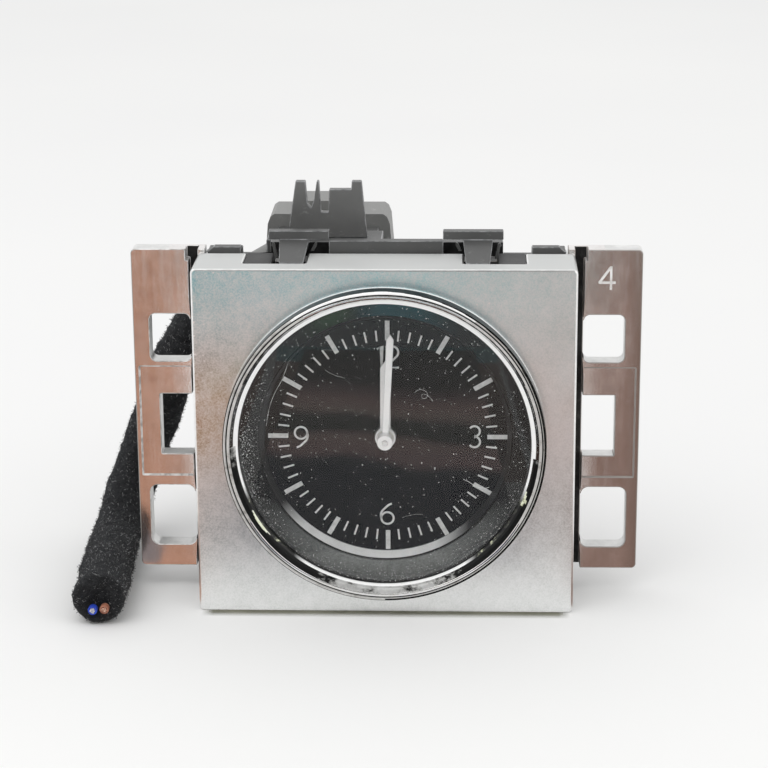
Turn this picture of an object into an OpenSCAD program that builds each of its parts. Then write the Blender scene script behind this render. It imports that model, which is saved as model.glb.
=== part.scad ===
// Dashboard analogue clock with a square satin face, a chromed mounting plate with two
// windowed ears, a clip carrier, a geared stepping movement and a cut wiring harness.
// Millimetres, +Z up. The face looks toward -Y and the clock stands on its lower edge.
// Inside the file, depth is counted from the face backwards; the last lines centre it.

/* [Front shell] */
// Width of the front shell
face_w = 64; // [60:0.5:68]
// Height of the front shell
face_h = 60.4; // [59:0.2:66]
// Depth of the front shell from its face to its back edge
shell_d = 11.4; // [10.8:0.1:13]
// Wall of the front shell
shell_wall = 1.2; // [0.9:0.1:1.6]
// Radius of the four corners of the face
face_corner = 0.8; // [0.3:0.1:2]
// Width of each clip notch in the top and bottom walls
notch_w = 10.4; // [9.5:0.1:12]
// Distance of a notch's middle from the middle of the face
notch_mid = 18.4; // [17.5:0.1:19]
// Depth at which a notch ends, counted from the face
notch_front = 4.2; // [3:0.1:6]

/* [Mounting plate] */
// Width over both ears
span_w = 86.8; // [84:0.2:96]
// Height of the ears' lower edge above the ground
ear_low = 3.8; // [2:0.1:6]
// Height of the ears' upper edge above the ground
ear_high = 61; // [60:0.2:66]
// Thickness of the ears over their rims
ear_t = 3.8; // [3.2:0.1:5]
// Thickness of the web that is left in the grooves and pockets
web_t = 1.2; // [0.8:0.1:1.6]
// Gap between the front shell's back edge and the ears
seat_gap = 0.2; // [0.1:0.05:0.5]
// Width of the groove beside the front shell
groove_w = 1.6; // [1:0.1:2.4]
// Radius of the ears' outer corners
ear_corner = 0.8; // [0.3:0.1:2]
// Depth of the recessed field round the middle windows
field_step = 0.3; // [0.1:0.05:0.6]
// Border left outside the recessed field
field_border = 0.8; // [0.5:0.1:1.5]
// Height of the upper windows
upper_window_h = 8.4; // [7:0.1:9]
// Height of the middle windows
middle_window_h = 10.9; // [9:0.1:12]
// Height of the lower windows
lower_window_h = 11; // [9:0.1:12]

/* [Bezel and glass] */
// Distance from the chrome bezel to the face's upper and lower edges
bezel_gap = 2.95; // [2.6:0.05:3.4]
// How far the bezel stands out from the face
bezel_proud = 2.8; // [2.2:0.1:3.4]
// Width of the bezel, seen from the front
bezel_w = 2.6; // [2.5:0.05:2.9]
// Thickness of the glass
glass_t = 1; // [0.8:0.1:1.3]
// How far the glass reaches under the bezel
glass_lap = 0.65; // [0.5:0.05:0.75]
// Radial play of the bezel in the shell and of the discs in their seats
seat_play = 0.1; // [0.05:0.05:0.2]

/* [Dial and hands] */
// Depth of the dial's face behind the shell's face
dial_y = 5; // [4.8:0.1:5.4]
// Thickness of the dial
dial_t = 0.5; // [0.3:0.1:0.6]
// Width of the reflector ring between the bezel and the dial
ring_w = 4.2; // [3.7:0.05:5]
// Depth of the reflector ring's flat flange
flange_y = 2.7; // [2.4:0.1:3.2]
// Gap between the minute hand's tip and the reflector ring
minute_gap = 2.05; // [1:0.05:5]
// Width of the minute hand near its tip
minute_w = 1.25; // [0.9:0.05:1.6]
// Length of the hour hand from its axis
hour_len = 13.4; // [10:0.1:14.5]
// Width of the hour hand
hour_w = 1.7; // [1.2:0.05:2.2]
// Thickness of both hands
hand_t = 0.4; // [0.3:0.05:0.5]
// Minutes past twelve that the hands show at rest
minutes_shown = 0.5; // [0:0.1:20]

/* [Movement] */
// Module of every gear
gear_m = 0.25; // [0.25:0.01:0.26]
// Face width of the gears
gear_t = 0.8; // [0.6:0.05:0.9]
// Radius of the centre arbor
arbor_r = 0.75; // [0.6:0.05:0.9]
// Wall of the hour wheel's pipe
pipe_wall = 0.6; // [0.5:0.05:0.8]
// Radius of the thin pivots
pivot_r = 0.4; // [0.3:0.05:0.5]
// Radial running clearance of every pivot and pipe
run_gap = 0.05; // [0.03:0.01:0.08]
// Thickness of the circuit board
board_t = 1.2; // [1:0.1:1.4]
// Thickness of the light guide behind the dial
guide_t = 1.4; // [1:0.1:1.5]
// Thickness of the two movement plates
movement_plate_t = 1.2; // [1:0.1:1.4]
// Radius of the rotor magnet
magnet_r = 2.2; // [1.8:0.1:2.4]

/* [Carrier and rear housing] */
// How much smaller the carrier's drum is than the bezel, in radius
drum_step = 0.35; // [0.2:0.05:0.55]
// Wall of the drum
drum_wall = 1.2; // [1:0.05:1.3]
// Thickness of the carrier's back plate
carrier_t = 1.8; // [1.4:0.1:2.4]
// Height of the T clips' heads above the front shell
clip_rise = 3.7; // [3.4:0.1:5]
// Width of a T clip's head
clip_w = 10.2; // [9:0.1:11]
// Depth of the rear housing behind the carrier
housing_d = 10.4; // [9.6:0.1:13]
// Wall of the rear housing
housing_wall = 1.5; // [1.2:0.1:1.8]
// Height of the latch guard's fins above the front shell
fin_rise = 10.1; // [8.6:0.1:12.5]
// Thickness of the latch guard
fin_t = 1.6; // [1.2:0.1:2.2]

/* [Socket and plug] */
// Width of the socket's shroud
shroud_w = 18; // [17:0.1:19]
// Height of the socket's shroud
shroud_h = 11.6; // [11:0.1:12]
// Length of the shroud behind the rear housing
shroud_d = 6.4; // [5.5:0.1:6.4]
// Number of contacts in a row
contact_count = 4; // [3:1:5]
// Depth of the plug's rear cover
cover_d = 10.4; // [9.6:0.2:11]
// Width of the plug's rear cover at its top
cover_w = 20.4; // [19:0.2:21]

/* [Harness] */
// Diameter of the fleece covered harness
harness_d = 9; // [8:0.2:9]
// Diameter of one wire over its insulation
wire_d = 1.6; // [1.2:0.1:1.8]

/* [Hidden] */

$fn = 64;
eps = 0.01;
dial_up = face_h / 2;
bezel_r = face_h / 2 - bezel_gap;
glass_sight_r = bezel_r - bezel_w;
glass_r = glass_sight_r + glass_lap;
dial_sight_r = glass_sight_r - ring_w;
minute_len = dial_sight_r - minute_gap;
drum_r = bezel_r - drum_step;
fin_high = face_h + fin_rise;

// Depths from the face backwards
ear_y = shell_d + seat_gap;
ear_back = ear_y + ear_t;
carrier_y = ear_back + 0.1;
carrier_back = carrier_y + carrier_t;
housing_back = carrier_back + housing_d;
shroud_back = housing_back + shroud_d;
glass_y = 0.1 - glass_t;
guide_y = dial_y + dial_t + 0.1;
board_y = guide_y + guide_t + 1.6;
lamp_t = 1.2;
lamp_ring_r = dial_sight_r - 3.45;
hour_disc_y = board_y + board_t + 0.6;
cannon_y = hour_disc_y + gear_t + 0.6;
front_plate_y = cannon_y + gear_t + 0.6;
centre_disc_y = front_plate_y + movement_plate_t + 0.4;
third_disc_y = centre_disc_y + gear_t + 0.4;
magnet_y = third_disc_y + gear_t + 0.8;
magnet_t = 2.2;
rear_plate_y = magnet_y + 4.6;
rear_plate_back = rear_plate_y + movement_plate_t;

// Nothing but the harness and its plug reaches behind the shroud
mid_y = (shroud_back - bezel_proud) / 2;

// Ears and windows, measured outwards from the middle and up from the ground
span_half = span_w / 2;
groove_out = face_w / 2 + groove_w;
ear_root = face_w / 2 - shell_wall;
ear_mid = (ear_low + ear_high) / 2;
upper_window_z = ear_high - 19.75;
middle_window_z = ear_mid - 8;
lower_window_z = ear_low + 3.95;
field_low = ear_mid - 11.8;
field_high = ear_mid + 7.9;
frame_low = 1;
frame_sunk = 0.1;
frame_high = face_h - 1.4;
opening_r = drum_r + 0.3;

// Fits of the bezel and the dial stack
shell_hole_r = bezel_r - 1;
spigot_r = shell_hole_r - seat_play;
spigot_d = 2.4;
stack_r = drum_r - drum_wall - seat_play;
spigot_bore = glass_r + seat_play;
flange_out_r = glass_r - 0.2;
cone_top_r = dial_sight_r + 0.85;
board_edge = stack_r - 0.6;

// Gear train: tooth counts, places and the rotor's place
pressure = 28;
addendum = 0.7;
dedendum = 1;
backlash = 0.14;
cannon_n = 10;
motion_n = 30;
motion_pinion_n = 8;
hour_n = 32;
centre_n = 64;
third_pinion_n = 8;
third_n = 60;
rotor_n = 8;
motion_dir = -60;
third_dir = 225;
rotor_dir = 315;
motion_dist = (cannon_n + motion_n) * gear_m / 2;
third_dist = (centre_n + third_pinion_n) * gear_m / 2;
rotor_dist = (third_n + rotor_n) * gear_m / 2;
motion_at = polar(motion_dist, motion_dir);
third_at = polar(third_dist, third_dir);
rotor_at = third_at + polar(rotor_dist, rotor_dir);
pipe_bore = arbor_r + run_gap;
pipe_r = pipe_bore + pipe_wall;
coil_drop = 6.1;
coil_at = rotor_at - [0, coil_drop];
movement_w = stack_r * 1.25;
movement_h = stack_r * 1.445;
movement_drop = 1.4;
pillar_x = movement_w / 2 - 2.8;
pillar_up = movement_h / 2 - movement_drop - 3.5;
pillar_down = movement_h / 2 + movement_drop - 2.7;
pillar_spots = [
    [-pillar_x, pillar_up], [pillar_x, pillar_up], [-pillar_x, -pillar_down], [pillar_x, -pillar_down]
];
screw_r = 0.7;
carrier_screw_r = 0.9;

// Clips: the stems sit a little further out than the heads
clip_mid = 14.75;
stem_mid = 15.55;
head_t = 1.5;
head_d = 1.8;
clip_front = ear_y + 0.4;
rail_high = face_h + 1;
lip_high = face_h + 2;
clip_high = face_h + clip_rise;

// Tabs beside the clips: they step down behind the shell and pass through the plate's notches
tab_x0 = notch_mid + 0.6;
tab_x1 = notch_mid + notch_w / 2 - 0.1;
tab_low = face_h - 1.3;
tab_step = frame_high - 1.3;

// Lugs beside the tabs, with a chamfer on the outside
lug_x1 = face_w / 2 - 1.6;
lug_x0 = lug_x1 - 5.7;

// Socket, plug and latch, round the middle of the rear tower
tower_x = -11;
tower_w = shroud_w + 2;
tower_high = face_h + 0.2;
socket_z = tower_high - 6.6;
tower_low = socket_z - 10;
foot_x = 15;
guard_y = carrier_back + 4.7;
cover_y = shroud_back + 0.3;
cover_high = socket_z + 8;
cover_low = cover_high - 19.5;
neck_z = socket_z - 7;
latch_pin_r = 0.6;
latch_z = cover_high + 0.3;
latch_pin_y = cover_y - 1.2;

// Route of the harness: out of the plug, down behind the ear and forward on the ground
route = [
    [-27, 39.8, neck_z], [-29.6, 39.8, neck_z - 1.5], [-32.3, 39.8, neck_z - 3.5],
    [-34.9, 39.8, neck_z - 6.1], [-37.3, 39.8, neck_z - 9.4], [-39.3, 39.8, neck_z - 13],
    [-41, 39.8, 30.2], [-42.4, 39.8, 26.4],
    [-43.8, 39.8, 22.4], [-45.5, 39.2, 17.9], [-47.1, 37.4, 13.6], [-48.3, 34.5, 9.9],
    [-49.1, 30.8, 7], [-49.5, 26.5, 5.2], [-49.6, 21.8, 4.6], [-49.4, 15, 4.6],
    [-49, 8, 4.6], [-48.6, 1, 4.6], [-48.2, -6.5, 4.6]
];
harness_sides = 12;
wire_stub = 1.2;

// A point at a radius and an angle
function polar(r, a) = [r * cos(a), r * sin(a)];

// Involute of an angle, in degrees
function involute(a) = tan(a) * 180 / PI - a;

// Half the angle that a tooth takes up at radius r
function tooth_half(n, r) =
    let(base = n * gear_m / 2 * cos(pressure))
    90 / n * (1 - backlash) + involute(pressure) - involute(acos(min(1, base / r)));

// Radii of the points along one flank, from root to tip
function flank_radii(n) =
    let(pitch = n * gear_m / 2)
    let(base = pitch * cos(pressure))
    let(root = pitch - dedendum * gear_m)
    let(tip = pitch + addendum * gear_m)
    root < base ? [root, base, (base + tip) / 2, tip] : [root, (root + tip) / 2, tip];

function gear_points(n) =
    let(radii = flank_radii(n))
    let(last = len(radii) - 1)
    [for (i = [0:n - 1])
        let(mid = i * 360 / n)
        each concat(
            [for (r = radii) polar(r, mid - tooth_half(n, max(r, n * gear_m / 2 * cos(pressure))))],
            [for (k = [last:-1:0])
                polar(radii[k], mid + tooth_half(n, max(radii[k], n * gear_m / 2 * cos(pressure))))]
        )];

// Vector helpers for the harness
function unit(v) = v / norm(v);
function heading(p, i) =
    i == 0 ? unit(p[1] - p[0])
    : i == len(p) - 1 ? unit(p[i] - p[i - 1])
    : unit(unit(p[i] - p[i - 1]) + unit(p[i + 1] - p[i]));
function side_of(v) = unit(cross(v, [0.3, 1, -0.4]));
function ring_at(p, i, r, sides) =
    let(v = heading(p, i))
    let(a = side_of(v))
    let(b = cross(v, a))
    [for (k = [0:sides - 1]) p[i] + r * (cos(k * 360 / sides) * a + sin(k * 360 / sides) * b)];

module placed() {
    translate([0, -mid_y, 0]) children();
}

// A flat outline, drawn as seen from the front, from depth y and t thick
module slab(y, t) {
    translate([0, y + t, 0])
        rotate([90, 0, 0])
            linear_extrude(t) children();
}

// The same, round the dial's axis
module dial_slab(y, t) {
    translate([0, 0, dial_up]) slab(y, t) children();
}

// A turned piece round the dial's axis: points are [radius, depth]
module turned(points) {
    translate([0, 0, dial_up])
        rotate([90, 0, 0])
            rotate_extrude($fn = 96) polygon([for (p = points) [p[0], -p[1]]]);
}

module rounded(w, h, r) {
    union() {
        square([w - 2 * r, h], center = true);
        square([w, h - 2 * r], center = true);
        for (x = [-1, 1])
            for (z = [-1, 1])
                translate([x * (w / 2 - r), z * (h / 2 - r)]) circle(r, $fn = 32);
    }
}

// A rectangle between two corners
module field(x0, z0, x1, z1) {
    translate([x0, z0]) square([x1 - x0, z1 - z0]);
}

module rounded_field(x0, z0, x1, z1, r) {
    translate([(x0 + x1) / 2, (z0 + z1) / 2]) rounded(x1 - x0, z1 - z0, r);
}

module both_sides() {
    children();
    mirror([1, 0, 0]) children();
}

module gear(n) {
    polygon(gear_points(n));
}

module face_shell() {
    color("silver")
        difference() {
            translate([0, 0, dial_up]) slab(0, shell_d) rounded(face_w, face_h, face_corner);
            translate([0, 0, dial_up])
                slab(shell_wall, shell_d)
                    square([face_w - 2 * shell_wall, face_h - 2 * shell_wall], center = true);
            dial_slab(-eps, shell_wall + 2 * eps) circle(shell_hole_r);
            both_sides()
                translate([notch_mid - notch_w / 2, notch_front, -1])
                    cube([notch_w, shell_d, face_h + 2]);
        }
}

module window_shapes() {
    window_out = span_half - 2.8;
    rounded_field(groove_out, upper_window_z, window_out, upper_window_z + upper_window_h, 1.1);
    field(groove_out, middle_window_z, window_out - 1.4, middle_window_z + middle_window_h);
    rounded_field(groove_out, lower_window_z, window_out + 0.8, lower_window_z + lower_window_h, 1.35);
}

module ear_pockets() {
    inner = groove_out + 1.2;
    outer = span_half - 1.6;
    field(inner, upper_window_z + upper_window_h + 1.4, outer, ear_high - 1.4);
    field(inner, field_low + 16.2, outer, field_high - 0.4);
    field(inner, field_low + 0.2, outer, middle_window_z - 1.2);
}

// One ear with its windows, field, groove and rear pockets, on the right
module right_ear() {
    difference() {
        slab(ear_y, ear_t)
            union() {
                rounded_field(ear_root, ear_low, span_half, ear_high, ear_corner);
                field(ear_root, ear_low, face_w / 2, ear_high);
            }
        slab(ear_y - eps, ear_t + 2 * eps) window_shapes();
        slab(ear_y - eps, field_step)
            field(groove_out, field_low, span_half - field_border, field_high);
        slab(ear_y - eps, ear_t - web_t)
            field(face_w / 2, ear_low - 1, groove_out, ear_high + 1);
        slab(ear_y - eps, ear_t - web_t)
            field(face_w / 2, frame_high, groove_out + 0.5, ear_high + 1);
        slab(ear_back - (ear_t - field_step - web_t), ear_t) ear_pockets();
    }
}

module mounting_plate() {
    color("rosybrown")
        union() {
            difference() {
                slab(ear_y, ear_t - frame_sunk)
                    field(-face_w / 2, frame_low, face_w / 2, frame_high);
                dial_slab(ear_y - eps, ear_t + 2 * eps) circle(opening_r);
                dial_slab(ear_back - 2.6, 3) screw_spots() circle(carrier_screw_r, $fn = 32);
                slab(ear_y - eps, ear_t + 2 * eps)
                    both_sides() field(tab_x0 - 0.15, tab_step - 0.1, tab_x1 + 0.15, frame_high + 1);
            }
            both_sides() right_ear();
        }
}

module bezel_ring() {
    bead_r = bezel_r - 0.4;
    bead_y = -bezel_proud + 0.27;
    crest_r = bezel_r - 1.1;
    color("gainsboro")
        turned(concat(
            [[spigot_bore, spigot_d], [spigot_r, spigot_d], [spigot_r, 0], [bezel_r, 0]],
            [for (a = [0:20:180]) [bead_r + 0.27 * cos(a), bead_y - 0.27 * sin(a)]],
            [[crest_r + 0.25, bead_y + 0.1], [crest_r + 0.23, -bezel_proud + 0.1]],
            [[crest_r + 0.1, -bezel_proud], [crest_r - 0.15, -bezel_proud]],
            [[crest_r - 0.25, -bezel_proud + 0.1], [crest_r - 0.8, -1.65]],
            [[glass_sight_r + 0.05, -1.3], [glass_sight_r, glass_y], [spigot_bore, glass_y]]
        ));
}

module glass() {
    color([0.85, 0.92, 0.95, 0.4]) dial_slab(glass_y, glass_t) circle(glass_r, $fn = 96);
}

module glass_gasket() {
    color("dimgray")
        dial_slab(glass_y + glass_t, 0.4)
            difference() {
                circle(glass_r, $fn = 96);
                circle(glass_r - 0.9, $fn = 96);
            }
}

module reflector_ring() {
    front = glass_y + glass_t + 0.4;
    color("darkslategray")
        turned([
            [cone_top_r, flange_y], [flange_out_r - 0.6, flange_y], [flange_out_r - 0.6, front],
            [flange_out_r, front], [flange_out_r, dial_y], [dial_sight_r + 0.8, dial_y],
            [dial_sight_r + 0.8, dial_y - 0.3], [dial_sight_r, dial_y]
        ]);
}

module dial() {
    color([0.13, 0.12, 0.13])
        dial_slab(dial_y, dial_t)
            difference() {
                circle(stack_r);
                circle(pipe_r + 0.45);
            }
}

module light_guide() {
    color("aliceblue")
        union() {
            dial_slab(guide_y, guide_t)
                difference() {
                    circle(stack_r);
                    circle(pipe_r + 0.8);
                }
            stack_rim(guide_y + guide_t - eps, board_y - guide_y - guide_t + eps);
        }
}

// A hand's outline: a tapered blade with a pointed end
module blade(length, w_tip, w_root, point) {
    polygon([
        [-w_root / 2, 0], [-w_tip / 2, length - point], [0, length], [w_tip / 2, length - point],
        [w_root / 2, 0]
    ]);
}

minute_hub_r = 1.32;
hour_hub_r = pipe_r + 0.35;
hour_hand_y = dial_y - 1.3;
minute_hand_y = dial_y - 2.7;
minute_hub_y = glass_y + glass_t + 0.7;
arbor_tip_r = 0.45;

module hour_hand() {
    color("whitesmoke")
        difference() {
            union() {
                dial_slab(hour_hand_y, hand_t)
                    rotate(-minutes_shown / 2) blade(hour_len, hour_w, hour_w + 0.1, 1.2);
                dial_slab(hour_hand_y - 0.2, hand_t + 0.5) circle(hour_hub_r, $fn = 48);
            }
            dial_slab(hour_hand_y - 1, hand_t + 2) circle(pipe_r, $fn = 48);
        }
}

module minute_hand() {
    color("white")
        difference() {
            union() {
                dial_slab(minute_hand_y, hand_t)
                    rotate(-minutes_shown * 6) blade(minute_len, minute_w, minute_w - 0.15, 0.9);
                dial_slab(minute_hub_y, minute_hand_y - minute_hub_y + hand_t + 0.1)
                    circle(minute_hub_r, $fn = 48);
            }
            dial_slab(minute_hub_y - 1, 6) circle(arbor_tip_r, $fn = 32);
        }
}

module circuit_board() {
    color("darkgreen")
        dial_slab(board_y, board_t)
            difference() {
                circle(board_edge);
                circle(pipe_r + 1);
            }
}

module dial_lamps() {
    color("ivory")
        for (a = [45:90:315])
            dial_slab(board_y - lamp_t, lamp_t) translate(polar(lamp_ring_r, a)) square([3.2, 2.8], center = true);
}

module driver_chip() {
    color("black") dial_slab(board_y + board_t, 1.4) translate([-13, 10]) square([6, 5], center = true);
}

module quartz_can() {
    color("silver")
        translate([9, board_y + board_t + 1.2, dial_up + 13])
            rotate([0, 90, 0]) cylinder(h = 6, r = 1.2, $fn = 32);
}

module board_capacitors() {
    color("goldenrod")
        for (x = [-6, 0, 6])
            dial_slab(board_y + board_t, 1.6) translate([x, board_edge - 7]) square([2.6, 1.8], center = true);
}

module plate_outline() {
    translate([0, -movement_drop]) rounded(movement_w, movement_h, 3);
}

// A rim that keeps two discs of the stack apart
module stack_rim(y, t) {
    dial_slab(y, t)
        difference() {
            circle(stack_r);
            circle(stack_r - 1);
        }
}

module movement_front_plate() {
    color("whitesmoke")
        union() {
            difference() {
                union() {
                    dial_slab(front_plate_y, movement_plate_t) circle(stack_r);
                    stack_rim(board_y + board_t, front_plate_y - board_y - board_t + eps);
                }
                dial_slab(front_plate_y - eps, movement_plate_t + 2 * eps)
                    union() {
                        circle(arbor_r + run_gap, $fn = 32);
                        translate(third_at) circle(pivot_r + run_gap, $fn = 32);
                        translate(rotor_at) circle(pivot_r + run_gap, $fn = 32);
                    }
            }
            dial_slab(hour_disc_y - 0.3, front_plate_y - hour_disc_y + 0.4)
                translate(motion_at) circle(pivot_r + 0.1, $fn = 32);
        }
}

module movement_rear_plate() {
    color("whitesmoke")
        dial_slab(rear_plate_y, movement_plate_t)
            difference() {
                plate_outline();
                circle(pivot_r + run_gap, $fn = 32);
                translate(third_at) circle(pivot_r + run_gap, $fn = 32);
                translate(rotor_at) circle(pivot_r + run_gap, $fn = 32);
                for (p = pillar_spots)
                    translate(p) circle(screw_r + run_gap, $fn = 32);
            }
}

module movement_pillars() {
    start = front_plate_y + movement_plate_t;
    color("darkgoldenrod")
        for (p = pillar_spots)
            dial_slab(start, rear_plate_y - start)
                translate(p)
                    difference() {
                        circle(1.7, $fn = 32);
                        circle(screw_r, $fn = 32);
                    }
}

// A screw whose head faces the rear: the head sits at depth y
module rear_screw(y, at, length, r, head_r) {
    dial_slab(y - length, length + eps) translate(at) circle(r, $fn = 32);
    difference() {
        dial_slab(y, 0.9) translate(at) circle(head_r, $fn = 32);
        dial_slab(y + 0.5, 1) translate(at) square([head_r * 2.4, 0.4], center = true);
        dial_slab(y + 0.5, 1) translate(at) square([0.4, head_r * 1.2], center = true);
    }
}

module movement_screws() {
    color("silver")
        for (p = pillar_spots)
            rear_screw(rear_plate_back, p, 4, screw_r, 1.4);
}

module hour_wheel() {
    front = hour_hand_y - 0.2;
    color("khaki")
        difference() {
            union() {
                dial_slab(front, hour_disc_y - front + gear_t) circle(pipe_r, $fn = 48);
                dial_slab(hour_disc_y, gear_t)
                    rotate(motion_dir + 180 / hour_n) gear(hour_n);
            }
            dial_slab(front - 1, 20) circle(pipe_bore, $fn = 32);
        }
}

module centre_arbor() {
    shoulder = centre_disc_y + gear_t + 0.6;
    color("lightsteelblue")
        union() {
            dial_slab(minute_hub_y - 0.2, 5) circle(arbor_tip_r, $fn = 32);
            dial_slab(minute_hand_y + hand_t + 0.15, shoulder - minute_hand_y - hand_t) circle(arbor_r, $fn = 32);
            dial_slab(shoulder, rear_plate_back - shoulder) circle(pivot_r, $fn = 32);
            dial_slab(cannon_y, gear_t + 0.2) rotate(motion_dir) gear(cannon_n);
            dial_slab(centre_disc_y, gear_t) rotate(third_dir) gear(centre_n);
        }
}

module motion_wheel() {
    color("khaki")
        translate([motion_at[0], 0, motion_at[1]])
            difference() {
                union() {
                    dial_slab(cannon_y + 0.1, gear_t)
                        rotate(motion_dir + 180 + 180 / motion_n) gear(motion_n);
                    dial_slab(hour_disc_y - 0.1, cannon_y - hour_disc_y + 0.2 + eps)
                        rotate(motion_dir + 180) gear(motion_pinion_n);
                }
                dial_slab(hour_disc_y - 1, 6) circle(pivot_r + 0.1 + run_gap, $fn = 32);
            }
}

module third_wheel() {
    color("khaki")
        translate([third_at[0], 0, third_at[1]])
            union() {
                dial_slab(front_plate_y + 0.1, rear_plate_back - front_plate_y - 0.2) circle(pivot_r, $fn = 32);
                dial_slab(centre_disc_y - 0.1, third_disc_y - centre_disc_y + 0.1 + eps)
                    rotate(third_dir + 180 + 180 / third_pinion_n) gear(third_pinion_n);
                dial_slab(third_disc_y, gear_t) rotate(rotor_dir) gear(third_n);
            }
}

module rotor_pinion() {
    color("whitesmoke")
        translate([rotor_at[0], 0, rotor_at[1]])
            union() {
                dial_slab(front_plate_y + 0.1, rear_plate_back - front_plate_y - 0.2) circle(pivot_r, $fn = 32);
                dial_slab(third_disc_y - 0.1, gear_t + 0.2)
                    rotate(rotor_dir + 180 + 180 / rotor_n) gear(rotor_n);
            }
}

module rotor_magnet() {
    color("dimgray")
        dial_slab(magnet_y, magnet_t)
            translate(rotor_at)
                difference() {
                    circle(magnet_r, $fn = 48);
                    circle(pivot_r, $fn = 32);
                }
}

module stator() {
    color("slategray")
        dial_slab(magnet_y + 0.5, 1.2)
            translate(rotor_at)
                difference() {
                    union() {
                        square([15, 7.4], center = true);
                        for (x = [-1, 1])
                            translate([x * 6.5, -coil_drop / 2 - 0.45])
                                square([2, coil_drop + 0.9], center = true);
                    }
                    circle(magnet_r + 0.4, $fn = 48);
                }
}

module coil_core() {
    color("slategray")
        dial_slab(magnet_y + 1.7, 1) translate(coil_at) square([15, 1.8], center = true);
}

// The winding's middle lies behind the stator, on the core
module coil_round(x0, length, r) {
    translate([coil_at[0] + x0, magnet_y + 2.2, dial_up + coil_at[1]])
        rotate([0, 90, 0]) cylinder(h = length, r = r, $fn = 48);
}

module coil_bobbin() {
    color("ivory")
        difference() {
            union() {
                coil_round(-5, 0.5, 2.3);
                coil_round(-5, 10, 1.3);
                coil_round(4.5, 0.5, 2.3);
            }
            dial_slab(magnet_y + 1.7, 1) translate(coil_at) square([16, 1.8], center = true);
        }
}

module coil_winding() {
    color("chocolate")
        difference() {
            coil_round(-4.5, 9, 2.1);
            coil_round(-5, 10, 1.3);
        }
}

// A clip stem: seen from the front it narrows downwards, from the side it runs forward
module clip_stem() {
    intersection() {
        slab(notch_front, carrier_y)
            polygon([
                [stem_mid - 1.6, face_h - 1.9], [stem_mid + 1.6, face_h - 1.9],
                [stem_mid + 2.5, lip_high], [stem_mid + 2.5, clip_high],
                [stem_mid - 2.5, clip_high], [stem_mid - 2.5, lip_high]
            ]);
        translate([stem_mid - 5, 0, 0])
            rotate([90, 0, 90])
                linear_extrude(10)
                    polygon([
                        [notch_front + 0.1, face_h], [clip_front, clip_high - head_t],
                        [clip_front, clip_high - 0.4], [clip_front + head_d, clip_high - 0.4],
                        [clip_front + head_d, rail_high], [carrier_back, rail_high],
                        [carrier_back, rail_high - 1.6], [ear_y + 1, rail_high - 1.6],
                        [notch_front + 1.1, face_h - 1.5], [notch_front + 0.1, face_h - 1.5]
                    ]);
    }
}

module clip_tops() {
    clip_x0 = clip_mid - clip_w / 2;
    clip_x1 = clip_mid + clip_w / 2;
    both_sides() {
        slab(clip_front, head_d) field(clip_x0, clip_high - head_t, clip_x1, clip_high);
        slab(carrier_y, carrier_t) field(clip_x0, face_h - 3, clip_x1, rail_high);
        clip_stem();
        slab(notch_front + 0.1, clip_front - notch_front - 0.1)
            field(tab_x0, tab_low, tab_x1, face_h - 0.1);
        slab(clip_front - 1, carrier_back - clip_front + 1)
            field(tab_x0, tab_step, tab_x1, tab_low + eps);
        slab(clip_front + 0.6, carrier_back - clip_front - 0.6)
            field(lug_x0, tab_low, lug_x1, face_h);
        slab(clip_front + 0.6, head_d)
            polygon([
                [lug_x0, face_h - eps], [lug_x1, face_h - eps], [lug_x1 - 1.1, face_h + 0.8],
                [lug_x0, face_h + 0.8]
            ]);
    }
    slab(clip_front, carrier_back - clip_front)
        field(-clip_x0 - eps, frame_high + 0.1, clip_x0 + eps, rail_high);
    slab(clip_front, head_d) field(-clip_x0 - eps, rail_high - eps, clip_x0 + eps, lip_high);
}

module carrier() {
    color("dimgray")
        union() {
            difference() {
                slab(carrier_y, carrier_t)
                    field(-ear_root + 0.1, 0, ear_root - 0.1, tab_low + 0.1);
                dial_slab(carrier_y - eps, carrier_t + 2 * eps) circle(drum_r - drum_wall);
                dial_slab(carrier_y - eps, carrier_t + 2 * eps)
                    screw_spots() circle(carrier_screw_r + 0.2, $fn = 32);
            }
            dial_slab(spigot_d + 0.3, carrier_back - spigot_d - 0.3)
                difference() {
                    circle(drum_r);
                    circle(drum_r - drum_wall);
                }
            clip_tops();
            both_sides()
                slab(notch_front + 0.1, carrier_back - notch_front - 0.1)
                    field(notch_mid - notch_w / 2 + 0.1, 0.1, notch_mid + notch_w / 2 - 0.1, 0.9);
        }
}

module screw_spots() {
    for (x = [-1, 1])
        for (z = [-1, 1])
            translate([x * (face_w / 2 - 3), z * (face_h / 2 - 2.8)]) children();
}

module carrier_screws() {
    color("silver")
        for (x = [-1, 1])
            for (z = [-1, 1])
                rear_screw(carrier_back, [x * (face_w / 2 - 3), z * (face_h / 2 - 2.8)], 3.6,
                    carrier_screw_r, 1.6);
}

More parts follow.
